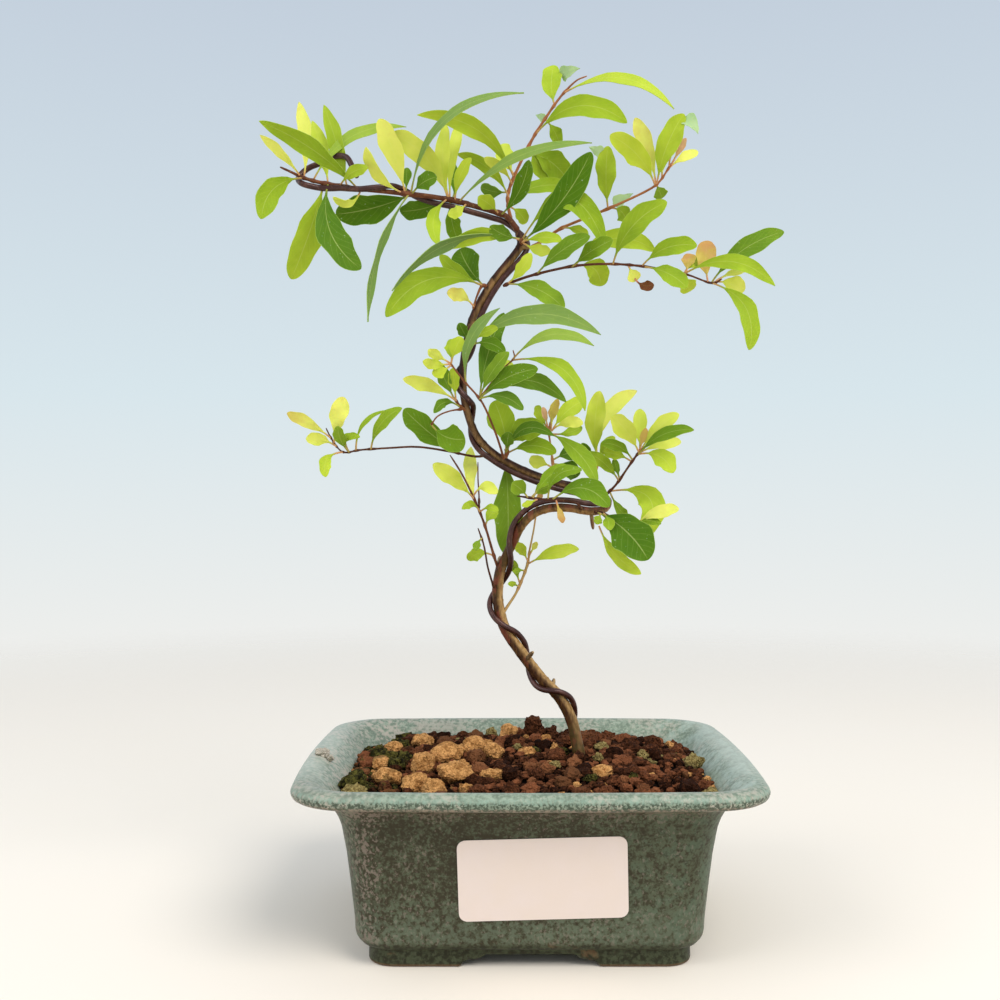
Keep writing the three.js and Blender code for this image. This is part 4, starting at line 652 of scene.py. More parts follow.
def marked(piece, name, value):
    """Gives the corners of a piece an attribute: one value for all, or what value(corner) says of each."""
    corners = piece.data.vertices
    values = [value(corner) for corner in corners] if callable(value) else [value] * len(corners)
    attribute = piece.data.attributes.new(name, "FLOAT", "POINT")
    attribute.data.foreach_set("value", np.array(values, dtype=np.float32))
    return piece


def smooth(piece, degrees):
    alone(piece)
    bpy.ops.object.shade_smooth_by_angle(angle=math.radians(degrees))
    return piece


def fitted(piece, node, material=None):
    """Finishes a piece: its material, the solid that it stands for, and what it moves with."""
    if not piece.data.vertices:
        raise RuntimeError(f"{piece.name} has no shape")
    if material:
        piece.data.materials.clear()
        piece.data.materials.append(material)
    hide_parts(node)
    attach(piece, "root")


# ---------------------------------------------------------------- curves of the crown


def place(column, row, depth_units):
    """A point of the crown's elevation, slid along its sight line to its depth."""
    depth = depth_units * DEPTH_UNIT
    reach = SQUARE * (1 + depth / -EYE.y)
    return Vector((EYE.x + (column - PAPER_MIDDLE) * reach, depth, EYE.z + (PAPER_MIDDLE - row) * reach))


def facing(point, tangent):
    """The direction from a point to the eye, made square to a tangent."""
    sight = (EYE - point).normalized()
    return (sight - tangent * sight.dot(tangent)).normalized()


def turned(first, second, angle):
    """The direction at an angle from a first one towards a second one."""
    return first * math.cos(angle) + second * math.sin(angle)


class Curve:
    """A smooth curve through points, at a share of its length counted in points."""

    STEP = 1e-4

    def __init__(self, points, even=True):
        self.points = [2 * points[0] - points[1], *points, 2 * points[-1] - points[-2]]
        self.spans = len(points) - 1
        self.even = even

    def point(self, share):
        at = clamped(share) * self.spans
        span = min(int(at), self.spans - 1)
        before, start, end, after = self.points[span:span + 4]
        if self.even:
            leave, arrive = (end - before) / 2, (after - start) / 2
        else:
            pairs = ((before, start), (start, end), (end, after))
            first, middle, last = (max((b - a).length ** 0.5, 1e-4) for a, b in pairs)
            leave = ((start - before) / first - (end - before) / (first + middle)
                     + (end - start) / middle) * middle
            arrive = ((end - start) / middle - (after - start) / (middle + last)
                      + (after - end) / last) * middle
        t = at - span
        bend = -3 * start + 3 * end - 2 * leave - arrive
        return start + t * leave + t * t * bend + t ** 3 * (2 * start - 2 * end + leave + arrive)

    def tangent(self, share):
        return (self.point(share + self.STEP) - self.point(share - self.STEP)).normalized()


def curve_of(rows):
    return Curve([place(*row[:3]) for row in rows])


def along(rows, share, column):
    """The value of one column of a table at a share of its length."""
    at = share * (len(rows) - 1)
    index = min(int(at), len(rows) - 2)
    first, second = rows[index][column], rows[index + 1][column]
    return first + (second - first) * (at - index)


def hash_noise(*values):
    """A repeatable number between -1 and 1 for some values."""
    return random.Random(" ".join(f"{value:.3f}" for value in values)).uniform(-1, 1)


def stem_tube(name, rows, sides, per_row, relief, slimness=1.0):
    """A tapered stem along its rows; relief(turn, share) adds to its radius."""
    curve = curve_of(rows)

    def at(turn, share):
        turn = round(turn * sides) % sides / sides
        tangent = curve.tangent(share)
        centre = curve.point(share)
        front = facing(centre, tangent)
        side = tangent.cross(front)
        # The ends round off to just over half the radius, within a fifth of a row.
        end = min(min(share, 1 - share) * (len(rows) - 1) * 5, 1.0)
        radius = along(rows, share, 3) * slimness * (0.55 + 0.45 * end ** 0.5) + relief(turn, share)
        return centre + turned(side, front, 2 * math.pi * turn) * radius

    return closed(shaped_grid(name, sides, (len(rows) - 1) * per_row, at))


def wire_points():
    """The points of the wire: round the leader by its clock angle, then out to its hooked end."""
    rows = [*LEADER, *TOP_LEFT]
    curve = curve_of(rows)
    wound = sum(row[4] is not None for row in rows)
    points = []
    for index in range(WIRE_PER_ROW, (wound - 1) * WIRE_PER_ROW + 1):
        share = index / WIRE_PER_ROW / (len(rows) - 1)
        centre, tangent = curve.point(share), curve.tangent(share)
        front = facing(centre, tangent)
        at = min(index // WIRE_PER_ROW, wound - 2)
        first, second = rows[at][4], rows[at + 1][4]
        angle = math.radians(first + (second - first) * (index / WIRE_PER_ROW - at))
        away = along(rows, share, 3) + WIRE_AWAY
        points.append(centre + turned(tangent.cross(front), front, angle) * away)
    return points + [place(*row) for row in WIRE_HOOK]


# ---------------------------------------------------------------- pot and label


def outline(step, corner_steps, side_steps, ring):
    """A point of a rounded rectangle: quarters of a corner's arc and then a side, anticlockwise from +X."""
    half_width, half_depth, radius, height = ring
    quarter, within = divmod(step, corner_steps + side_steps)

    def on_arc(corner, degrees):
        angle = math.radians(degrees)
        x = (half_width - radius) * (1 if corner % 4 in (0, 3) else -1) + radius * math.cos(angle)
        y = (half_depth - radius) * (1 if corner % 4 < 2 else -1) + radius * math.sin(angle)
        return Vector((x, y, height))

    if within <= corner_steps:
        point = on_arc(quarter, 90 * (quarter + within / corner_steps))
    else:
        end = 90 * (quarter + 1)
        along_side = (within - corner_steps) / side_steps
        point = on_arc(quarter, end).lerp(on_arc(quarter + 1, end), along_side)
    start, full, share_x, share_y = BOW
    bow = clamped((half_width - start) / (full - start))
    x = point.x * (1 - share_x * bow * (point.y / half_depth) ** 2)
    y = point.y * (1 - share_y * bow * (point.x / half_width) ** 2)
    return Vector((x, y, height))


def foot_cutter(name, reach, scale, across_y):
    """The space under the foot ring's bracket-shaped cut, which runs right through the pot."""
    arch = [(x, z) for x, z in FOOT_CUT] + [(-x, z) for x, z in reversed(FOOT_CUT)]

    def at(turn, share):
        x, z = arch[round(turn * (len(arch) - 1))]
        y = (share - 0.5) * 2 * reach
        return Vector((y, x * scale, z)) if across_y else Vector((x * scale, y, z))

    return block_under(shaped_grid(name, len(arch) - 1, 1, at), CUT_DEPTH)


def glaze(settings):
    recipe = Recipe("speckled_glaze", IOR=1.5, Coat_Roughness=0.25, Specular_IOR_Level=0.14)
    x, y, z = recipe.parts(recipe.here)
    broad = recipe.noise(42, 3)
    cloud = recipe.noise(190, 4, 0.65)
    mottle = recipe.noise(640, 3)
    fine = recipe.noise(1250, 3)
    grit = recipe.noise(900, 3, 0.55, (1.13, 1.13, 0.9))
    streaks = recipe.noise(1300, 4, 0.7, (1, 1, 0.3))
    foot = z.between_mm(8.5, 6.5)
    low = z.between_mm(26, 10) * (1 - foot)
    high = z.between_mm(45, 50)
    left, right = x.between_mm(-30, -62), x.between_mm(10, 50)
    edge = abs(x).between_mm(40, 50) * x.between_mm(10, -10)
    corner = abs(x).between_mm(50, 57) * mottle.between(0.35, 0.55)
    patch = broad * 0.5 + cloud * 0.5
    mottled = mottle.between(0.4, 0.6)
    teal = (fine * 0.35 + mottle * 0.4 + patch * 0.25 + low * 0.07 + right * 0.05).between(0.46, 0.6)
    specks = grit * 0.55 + patch * 0.45 + edge * 0.05 + low * 0.04 + right * 0.01 + high * 0.08
    ash = specks.between(0.56, 0.63)
    body = recipe.layered(
        settings.glaze_dark,
        (teal * 0.85, settings.glaze_teal),
        ((patch - low * 0.1).between(0.5, 0.36) * 0.35, settings.glaze_dark),
        (ash * (0.45 + edge * 0.3), settings.glaze_ash),
        (low * mottled * 0.3, "73806c"),
        (corner * 0.35, "6b7b65"),
        (right * cloud.between(0.5, 0.6) * (1 - foot) * 0.2, "4f6a58"),
        (foot * 0.75, recipe.mix(mottled, "26291a", "414732")))

    outer = 1 - recipe.attribute("inner")
    inner = recipe.attribute("inner") * z.between_mm(40, 44)
    wavy = z + (streaks - 0.5) * 1.4 * MM
    blush = (mottle * 0.35 + grit * 0.2 + broad * 0.45).between(0.46, 0.6)
    sides = abs(x).between_mm(57, 70) * y.between_mm(-50, -20) * z.between_mm(54, 56.3)
    turquoise = wavy.between_mm(53.8, 54.4) * wavy.between_mm(56.2, 55.4) * outer
    dark = wavy.between_mm(52.3, 52.8) * wavy.between_mm(55.0, 54.1) * outer
    pink = wavy.between_mm(53.0, 52.5) * outer
    rim = recipe.layered(
        "737f6d",
        ((mottle * 0.4 + fine * 0.35 + cloud * 0.25).between(0.4, 0.6), settings.glaze_light),
        ((blush * 0.6 + left * mottled * 0.4).between(0, 1), "b9ad9d"),
        (inner * x.between_mm(45, 60) * cloud.between(0.4, 0.6) * 0.4, "b4c3b6"),
        # Painted shade: the inner wall is drawn darker and greener low down, near the soil.
        (inner * z.between_mm(52, 45) * 0.5, "5d6956"),
        (sides * 0.4, "c6cabb"),
        (left * y.between_mm(-25, -50) * 0.25, "8d8478"),
        (turquoise * streaks.between(0.4, 0.6) * 0.7, "8aa18f"),
        (dark * fine.between(0.42, 0.56) * 0.85, "303c2d"),
        (pink * 0.9, recipe.mix(grit.between(0.42, 0.58), "4c4f3f", "8b7c6d")))
    lip = inner.maths("MAXIMUM", wavy.between_mm(50.2, 51.0), inner)
    rust = recipe.noise(60, 5, 0.7)
    clay = z.between_mm(1.0, 0.2) * 0.6 + z.between_mm(10, 5) * rust.between(0.64, 0.72) * 0.5
    base = recipe.layered(body, (lip, rim), (clay, settings.clay))
    gloss = 0.42 - 0.1 * lip + 0.14 * ash + 0.25 * clay
    relief = mottle * 0.5 + fine * 0.3 + grit * 0.3
    return recipe.finish(base, gloss, relief, 0.08, Coat_Weight=0.03 + 0.1 * lip)


class BONSAI_OT_pot(bpy.types.Operator):
    """Makes the glazed pot with its flared lip and its cut foot ring"""

    bl_idname = "bonsai.pot"
    bl_label = "Pot"

    def execute(self, context):
        settings = context.scene.bonsai.pot
        wall = Curve([Vector(ring) for ring in POT_WALL], even=False)
        steps = STEPS_PER_RING * (len(POT_WALL) - 1)
        rings = [*POT_FOOT, *(tuple(wall.point(step / steps)) for step in range(steps + 1)), *POT_UNDERSIDE]
        rings.append(rings[0])
        corner_steps, side_steps = settings.corner_steps, settings.side_steps
        around = 4 * (corner_steps + side_steps)

        def at(turn, share):
            ring = rings[round(share * (len(rings) - 1))]
            return outline(round(turn * around) % around, corner_steps, side_steps, ring)

        pot = closed(shaped_grid("pot_body", around, len(rings) - 1, at))
        for cutter in [foot_cutter(*cut) for cut in FOOT_CUTTERS]:
            modified(pot, "BOOLEAN", operation="DIFFERENCE", solver="EXACT", object=cutter)
            removed(cutter)
        modified(pot, "BEVEL", width=settings.edge_round, segments=2, limit_method="ANGLE",
                 angle_limit=math.radians(50))
        smooth(pot, 42)

        def faces_in(corner):
            away = Vector((corner.co.x / POT_RATIO, corner.co.y))
            return corner.normal.xy.dot(away) < 0 and corner.co.z > POT_FLOOR * MM - 1e-4

        marked(pot, "inner", faces_in)
        fitted(pot, "pot", glaze(settings))
        return {"FINISHED"}


def rounded(x, y, half_width, half_height, corner):
    """Draws a point of a square sheet in to a rounded rectangle."""
    over_x, over_y = abs(x) - (half_width - corner), abs(y) - (half_height - corner)
    if over_x > 0 and over_y > 0:
        draw = max(over_x, over_y) / math.hypot(over_x, over_y)
        x = math.copysign(half_width - corner + over_x * draw, x)
        y = math.copysign(half_height - corner + over_y * draw, y)
    return x, y


class BONSAI_OT_label(bpy.types.Operator):
    """Makes the blank sticker on the pot's front"""

    bl_idname = "bonsai.label"
    bl_label = "Blank Label"

    def execute(self, context):
        settings = context.scene.bonsai.pot
        lean = math.atan2(WALL_TOP[0] - WALL_FOOT[0], WALL_TOP[1] - WALL_FOOT[1])
        cos_roll, sin_roll = math.cos(LABEL["roll"]), math.sin(LABEL["roll"])
        off_wall, curl = 0.12, 0.1

        def at(turn, share):
            x, up = (turn - 0.5) * LABEL["width"], (share - 0.5) * LABEL["height"]
            x, up = rounded(x, up, LABEL["width"] / 2, LABEL["height"] / 2, LABEL["corner"])
            lift = off_wall + curl * (abs(turn - 0.5) * 2) ** 8
            x, up = x * cos_roll - up * sin_roll, x * sin_roll + up * cos_roll
            z = LABEL["z"] + up * math.cos(lean)
            wall = WALL_FOOT[0] + (z - WALL_FOOT[1]) * math.tan(lean)
            return Vector((LABEL["x"] + x, -wall - lift, z))

        sticker = shaped_grid("label_sticker", 48, 26, at)
        modified(sticker, "SOLIDIFY", thickness=PAPER_THICKNESS * MM, offset=0)
        smooth(sticker, 30)
        recipe = Recipe("sticker_paper", IOR=1.48)
        fibre, cloud = recipe.noise(2200, 3), recipe.noise(90, 3)
        shaded = recipe.mix(cloud.between(0.3, 0.75) * 0.35, settings.paper, "e6d6d2")
        paper = recipe.finish(shaded, 0.42 + 0.08 * cloud, fibre + cloud * 2.0, 0.02)
        fitted(sticker, "plant_label", paper)
        return {"FINISHED"}


class BONSAI_OT_screen(bpy.types.Operator):
    """Gives the drainage screen on the pot's floor its finish"""

    bl_idname = "bonsai.screen"
    bl_label = "Drainage Screen"

    def execute(self, context):
        recipe = Recipe("black_screen", IOR=1.46)
        grain = recipe.noise(900, 4)
        base = recipe.mix(grain, "17181a", "2b2d2f")
        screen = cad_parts["drainage_mesh"]
        screen.data.materials.clear()
        screen.data.materials.append(recipe.finish(base, 0.55 + 0.2 * grain, grain, 0.05))
        return {"FINISHED"}


# ---------------------------------------------------------------- soil


def soil_height(x, y):
    away = math.hypot((x - MOUND[0]) / MOUND_REACH[0], (y - MOUND[1]) / MOUND_REACH[1])
    return SOIL_EDGE + MOUND[2] * max(1 - away * away, 0)


def soil_material(settings):
    recipe = Recipe("fired_clay_granules", IOR=1.4, Specular_IOR_Level=0.12)
    kind, shade, sunk = (recipe.attribute(name) for name in ("kind", "shade", "sunk"))
    grain = recipe.noise(1000, 5, 0.7)
    patch = recipe.noise(330, 3)
    mixed = grain * 0.6 + patch * 0.4
    lit = (shade * 0.8 + grain * 1.3 - 0.6).between(0.05, 0.95)
    brown = recipe.layered(
        settings.granule_dark,
        (lit, settings.granule_red),
        ((shade * 7).wrapped().between(0.82, 0.95) * 0.6, "8d5c3a"),
        ((patch + shade * 0.1).between(0.46, 0.34) * 0.6, settings.earth_and_shade))
    ochre = recipe.mix(mixed.between(0.4, 0.6), "a5703c", settings.ochre)
    pale = recipe.mix(grain.between(0.35, 0.6), "69562c", "b29c62")
    moss = recipe.mix(mixed.between(0.42, 0.6), "1b180a", settings.moss)
    kinds = [(kind.between(rank - 0.6, rank - 0.4), look) for rank, look in (
        (OCHRE, ochre), (PALE, pale), (MOSSY, moss), (DRY, "cfc3b0"))]
    x, _, _ = recipe.parts(recipe.here)
    algae = recipe.noise(170, 4).between(0.52, 0.6) * x.between_mm(-34, -50)
    # The last layer is painted shade: the earth colour where a corner lies low between the granules, and over
    # the bed.
    base = recipe.layered(brown, *kinds, (algae * 0.6, moss), (sunk * 0.85, settings.earth_and_shade))
    pits = recipe.add("ShaderNodeTexVoronoi", inputs={"Vector": recipe.here, "Scale": 1300})
    return recipe.finish(base, 0.88 - 0.1 * patch.between(0.5, 0.7), grain + pits * 0.8, 0.9)


def crumb(name, master, centre, radius, seed, rough):
    """A copy of a master ball, cut flat by six facets and swollen by lumps of two sizes."""
    dice = random.Random(seed)
    piece = copied(master, name)
    size = Vector((dice.uniform(0.8, 1.25), dice.uniform(0.8, 1.2), dice.uniform(0.7, 1.05))) * radius
    shift = Vector([dice.uniform(-50, 50) for _ in range(3)])
    facets = [Vector([dice.gauss(0, 1) for _ in range(3)]).normalized() for _ in range(6)]
    turn = dice.uniform(0, 6.28)
    for corner in piece.data.vertices:
        way = corner.co.normalized()
        cut = max(max(way.dot(facet) for facet in facets) - 0.7, 0)
        lumps = 0.34 * noise.noise(way * 1.9 + shift) + 0.26 * noise.noise(way * 4.5 + shift)
        point = way * (1.04 - 0.9 * cut + rough * lumps)
        x = point.x * math.cos(turn) - point.y * math.sin(turn)
        y = point.x * math.sin(turn) + point.y * math.cos(turn)
        corner.co = (Vector((x * size.x, y * size.y, point.z * size.z)) + centre) * MM

    # Painted shade: the lower a corner lies against the soil's height, the more of the dark earth colour it
    # gets.
    def depth(corner):
        above = corner.co.z / MM - soil_height(corner.co.x / MM, corner.co.y / MM)
        return clamped((1.1 - above) / 2.0)

    return marked(piece, "sunk", depth)


def round_block(name, cuts):
    """A cube divided and drawn out to a ball, to break crumbs from."""
    bpy.ops.object.select_all(action="DESELECT")
    bpy.ops.mesh.primitive_cube_add(size=2, location=(0, 0, 0))
    block = bpy.context.object
    block.name = block.data.name = name
    edited(block, (bpy.ops.mesh.subdivide, {"number_cuts": cuts}))
    for corner in block.data.vertices:
        corner.co = corner.co.normalized()
    return block


def kind_of(x, y, dice):
    """The kind of a free granule: often mossy in two places, and now and then ochre or pale elsewhere."""
    edge, edge_share = MOSS_EDGE
    spot_x, spot_y, reach, spot_share = MOSS_SPOT
    mossy = x < edge and dice.random() < edge_share
    greenish = math.hypot(x - spot_x, y - spot_y) < reach and dice.random() < spot_share
    roll = dice.random()
    if mossy or greenish:
        return MOSSY
    return OCHRE if roll < OCHRE_SHARE else (PALE if roll < PALE_SHARE else BROWN)


class BONSAI_OT_soil(bpy.types.Operator):
    """Makes the mounded soil and strews the granules, ochre lumps and moss on it"""

    bl_idname = "bonsai.soil"
    bl_label = "Soil and Granules"

    def execute(self, context):
        settings = context.scene.bonsai.soil
        half_width, half_depth, round_corner = BED_SIZE

        def bed_at(turn, share):
            x, y = (turn - 0.5) * 2 * half_width, (share - 0.5) * 2 * half_depth
            x, y = rounded(x, y, half_width, half_depth, round_corner)
            return Vector((x, y, soil_height(x, y) - BED_DROP + BED_RELIEF * hash_noise(x, y)))

        bed = block_under(shaped_grid("soil_bed", 60, 50, bed_at), BED_THICKNESS)
        # The bed is drawn almost wholly in the painted shade of the gaps between the granules.
        for name, value in (("kind", BROWN), ("shade", 0.05), ("sunk", 1.0)):
            marked(bed, name, value)
        smooth(bed, 60)

        dice = random.Random(7)
        blocks = fine_block, middling_block, coarse_block, lump_block = [
            round_block(f"block_{cuts}", cuts) for cuts in (1, 2, 4, 7)]
        places, crumbs = [], []

        def strew(x, y, z, radius, kind, shade, block, rough=1.0):
            seed = len(crumbs)
            piece = crumb(f"crumb_{seed}", block, Vector((x, y, z)), radius, seed, rough)
            marked(piece, "kind", kind)
            crumbs.append(marked(piece, "shade", shade))
            places.append((x, y, radius))

        def has_room(x, y, radius, crowd):
            width, depth, corner = STREWN
            near_x, near_y = rounded(x, y, width - radius * 0.7, depth - radius * 0.7, corner)
            trunk_x, trunk_y, gap = TRUNK_FOOT
            return (
                abs(x) <= width - radius and abs(y) <= depth - radius
                and math.hypot(near_x - x, near_y - y) <= 0.01
                and math.hypot(x - trunk_x, y - trunk_y) >= gap + radius * 0.8
                and not any((x - a) ** 2 + (y - b) ** 2 < (crowd * (radius + r)) ** 2 for a, b, r in places))

        for x, y, radius in OCHRE_LUMPS:
            strew(x, y, soil_height(x, y) + 0.48 * radius, radius, OCHRE, 0.5, lump_block, 0.5)
        for x, y, lift, radius, kind in LOOSE_BITS:
            strew(x, y, soil_height(x, y) + lift, radius, kind, 0.35, lump_block)
        # How many, their smallest and largest radius, the ball they are broken from, and how far apart they
        # lie as a share of the radii of two of them.
        tiers = [
            (settings.clods, 2.1, 3.4, coarse_block, 0.8),
            (settings.granules, 1.1, 2.0, middling_block, 0.72),
            (settings.crumbs, 0.55, 1.0, fine_block, 0.6),
        ]
        most_tries = 30000
        for wanted, smallest, largest, block, crowd in tiers:
            laid = 0
            for _ in range(most_tries):
                if laid == wanted:
                    break
                radius = dice.uniform(smallest, largest)
                x, y = dice.uniform(-STREWN_X, STREWN_X), dice.uniform(-STREWN_Y, STREWN_Y)
                if has_room(x, y, radius, crowd):
                    kind = kind_of(x, y, dice)
                    z = soil_height(x, y) - 0.5 + radius * dice.uniform(0.1, 0.7)
                    strew(x, y, z, radius, kind, dice.random(), block)
                    laid += 1
        for block in blocks:
            removed(block)
        granules = joined("granules", crumbs)
        smooth(granules, 35)
        material = soil_material(settings)
        for piece in (bed, granules):
            fitted(piece, "soil", material)
        return {"FINISHED"}


# ---------------------------------------------------------------- trunk and wire

LENGTHWISE = (1, 1, 0.3)


def bark_material(settings):
    recipe = Recipe("peeling_bark", IOR=1.45, Specular_IOR_Level=0.2)
    _, _, z = recipe.parts(recipe.here)
    strips = recipe.noise(800, 4, 0.6, LENGTHWISE)
    flakes = recipe.noise(300, 4, 0.65, LENGTHWISE)
    broad = recipe.noise(90, 3)
    peel = z.between_mm(84, 100) * 0.1
    low = recipe.layered(
        "33190c",
        (strips.between(0.36, 0.64), settings.bark_low),
        (broad.between(0.5, 0.64) * 0.4, "524620"),
        ((flakes + peel).between(0.6, 0.66) * 0.85, "6f3826"))
    high = recipe.layered(
        "26120d",
        (strips.between(0.36, 0.64), settings.bark),
        (flakes.between(0.6, 0.66) * 0.5, "7d5a38"))
    # Painted light: the lit side, held by the pale attribute, is drawn in a lighter tan, less of it low down.
    painted_light_share = recipe.attribute("pale") * (0.55 + 0.9 * flakes).between(0.75, 1.0)
    tan = recipe.mix(strips.between(0.35, 0.6), "8a683a", "bb935c")
    base = recipe.layered(
        low,
        ((z + (broad - 0.5) * 10 * MM).between_mm(139, 148), high),
        (painted_light_share * (0.3 + z.between_mm(60, 74) * 0.7), tan),
        (z.between_mm(66, 56) * 0.5, "4f4219"),
        (recipe.attribute("cut"), recipe.mix(flakes.between(0.4, 0.6), "c3ab84", "9a8460")))
    return recipe.finish(base, 0.5 - 0.1 * strips, strips * 0.6 + flakes * 1.2, 0.2)


def painted_lit_side(corner):
    """Painted light: how much lighter the trunk is drawn on its lit side, its upper right, and on the
    underside of its upper bends.
    """
    high = clamped((corner.co.z / MM - 128) / 10)
    way = Vector((0.75, -0.3, 0.55)).lerp(Vector((0.3, -0.4, -0.8)), high)
    return clamped(1.9 * corner.normal.dot(way) - 0.5) * (1 - 0.4 * high)


class BONSAI_OT_trunk(bpy.types.Operator):
    """Makes the trunk with its joints and its pruned stubs"""

    bl_idname = "bonsai.trunk"
    bl_label = "Trunk"

    def execute(self, context):
        settings = context.scene.bonsai.crown

        def bark(turn, share):
            """Three ridges that wind upwards, a swelling at each joint, and fine unevenness."""
            ridges, joints, bands = 3, 43, 130
            ridge = math.sin(2 * math.pi * turn * ridges + 30 * share) * 0.05
            joint = abs((share * joints) % 1 - 0.5) * 2
            return ridge + 0.16 * max(1 - 5 * joint, 0) + 0.03 * hash_noise(turn, round(share * bands))

        def cut_wood(turn, share):
            return 0.06 * hash_noise(turn, share)

        pieces = [marked(stem_tube("trunk_bark", LEADER, settings.trunk_sides, 9, bark), "cut", 0.0)]
        for number, (*start, end_column, end_row, end_depth, radius) in enumerate(STUBS):
            rows = [(*start, radius), (end_column, end_row, end_depth, radius * 0.85)]
            stub = stem_tube(f"stub_{number}", rows, 12, 8, cut_wood)
            pieces.append(marked(stub, "cut", 0.75 if number == 0 else 0.2))
        trunk = joined("trunk_bark", pieces)
        # The pale attribute holds the painted light on the trunk's lit side.
        smooth(marked(trunk, "pale", painted_lit_side), 60)
        fitted(trunk, "trunk", bark_material(settings))
        return {"FINISHED"}


# The wire's thickness at its end, one ring in, and from there on.
WIRE_ENDS = (0.72, 0.93, 1.0)


def wire_material(settings):
    recipe = Recipe("brown_wire", Metallic=0.25, IOR=1.5)
    dust, marks = recipe.noise(260, 5), recipe.noise(1400, 3, stretch=LENGTHWISE)
    base = recipe.layered(
        settings.wire, (dust.between(0.45, 0.7) * 0.5, "6b4236"), (marks.between(0.62, 0.7) * 0.4, "8c6a5a"))
    return recipe.finish(base, 0.26 + 0.22 * dust, marks, 0.03)


class BONSAI_OT_wire(bpy.types.Operator):
    """Winds the training wire round the trunk and the top stem"""

    bl_idname = "bonsai.wire"
    bl_label = "Training Wire"

    def execute(self, context):
        settings = context.scene.bonsai.crown
        path = Curve(wire_points(), even=False)
        many, ring_gap, nudge = 4000, 0.8, 1e-3
        line = [path.point(step / many) for step in range(many + 1)]
        run = np.cumsum([0.0] + [(b - a).length for a, b in zip(line, line[1:])])
        steps = int(run[-1] / ring_gap)
        shares = np.interp(np.linspace(0, run[-1], steps + 1), run, np.linspace(0, 1, many + 1)).tolist()
        centres = [path.point(share) for share in shares]
        sides, side = [], Vector((1, 0, 0))
        for share in shares:
            tangent = path.tangent(min(max(share, nudge), 1 - nudge))
            side = (side - tangent * side.dot(tangent)).normalized()
            sides.append((side.copy(), tangent.cross(side)))
        radius = settings.wire_radius / MM

        def at(turn, share):
            index = round(share * steps)
            end = min(index, steps - index)
            size = radius * WIRE_ENDS[min(end, 2)]
            return centres[index] + turned(*sides[index], 2 * math.pi * turn) * size

        wire = closed(shaped_grid("wire_coil", 14, steps, at))
        smooth(wire, 50)
        fitted(wire, "training_wire", wire_material(settings))
        return {"FINISHED"}


# ---------------------------------------------------------------- leafy stems


def leaf_material(settings):
    recipe = Recipe("leaf_blade", IOR=1.4, Specular_IOR_Level=0.07, Subsurface_Weight=0.15,
                    Subsurface_Scale=0.0008, Subsurface_Radius=(0.7, 1.0, 0.15))
    across, up, _ = recipe.parts(recipe.add("ShaderNodeTexCoord", output="UV"))
    age, cast, under = (recipe.attribute(name) for name in ("age", "cast", "under"))
    cloud = recipe.noise(150, 3)
    grain = recipe.noise(700, 2)
    flecks = recipe.noise(1000, 2, 0.5)
    shade = (age + (cloud - 0.5) * 0.22 + (up - 0.5) * 0.06) / 1.5
    green = recipe.ramp(
        shade, (0.0, settings.leaf_old), (0.2, "67881c"), (0.36, settings.leaf_middle), (0.5, "bac93c"),
        (0.64, settings.leaf_young), (0.73, "c3a552"), (0.82, "dfae8a"), (0.93, "6b3f24"))
    off = abs(across - 0.5)
    ribs = abs((up * 11.0 - off * 5.0).wrapped() - 0.5).between(0.1, 0.02) * off.between(0.5, 0.36)
    midrib = off.between(0.024, 0.008) * up.between(0.97, 0.7)
    margin = off.between(0.47, 0.5)
    bronze = age.between(1.0, 1.1) * age.between(1.2, 1.12) * (cloud * 0.6 + up * 0.5).between(0.5, 0.75)
    open_leaf = age.between(-0.1, 0.0)
    base = recipe.layered(
        green,
        # Painted sheen: older leaves, most of all the long slim ones, are drawn towards a pale grey-green.
        (cast * age.between(0.8, 0.3) * 0.4, "83996a"),
        (ribs * 0.06, "d3dc7a"),
        (midrib * (0.3 - age * 0.15), "d5dc86"),
        (margin * age.between(1.0, 0.5) * 0.4, "c4d668"),
        (under * 0.35, "93a873"),
        (flecks.between(0.68, 0.75) * age.between(0.6, 0.2) * 0.25, "dfe6c6"),
        (bronze * 0.5, "bb7a45"),
        (up.between(0.16, 0.07) * open_leaf * 0.8, recipe.mix(age.between(0.2, 0.7), "a8a04e", "d08a70")),
        (up.between(0.965, 1.0) * cloud.between(0.5, 0.6) * open_leaf * 0.5, "7d6a34"),
        (age.between(0.0, -0.1), recipe.mix(cloud, "8fb27a", "bdd098")))
    return recipe.finish(base, 0.46 + 0.1 * grain + 0.1 * under)


def twig_material():
    recipe = Recipe("twig_bark", IOR=1.45, Specular_IOR_Level=0.25)
    grain = recipe.noise(1600, 3, stretch=(0.5, 0.5, 0.5))
    patch = recipe.noise(240, 3)
    base = recipe.ramp(
        recipe.attribute("tone") + (patch - 0.5) * 0.5,
        (0.0, "33190f"), (0.3, "5c301c"), (0.6, "a7663a"), (0.8, "ba8555"), (1.0, "b39258"))
    base = recipe.mix(grain.between(0.55, 0.7) * 0.35, base, "a8814f")
    return recipe.finish(base, 0.5 + 0.15 * grain, grain, 0.05)


# How much of their tables' radius the twigs have, and the long top left one.
TWIG_SLIMNESS, TOP_SLIMNESS = 0.66, 0.85
# How dark or light each stem's twigs are: 0 dark brown, 0.6 orange brown, 1 tan.
USUAL_TONE = 0.4
TWIG_TONES = {
    "stem_top_left": 0.3, "stem_apex": 0.5, "stem_upper_right": 0.6, "stem_right": 0.25, "stem_left": 0.2,
    "stem_centre": 0.8, "stem_uprights": 0.75, "stem_left_low": 0.3, "stem_left_thin": 0.15,
    "twig_horizontal": 0.15, "stem_right_cluster": 0.25, "stem_right_low": 0.1, "shoot_low": 0.95,
}


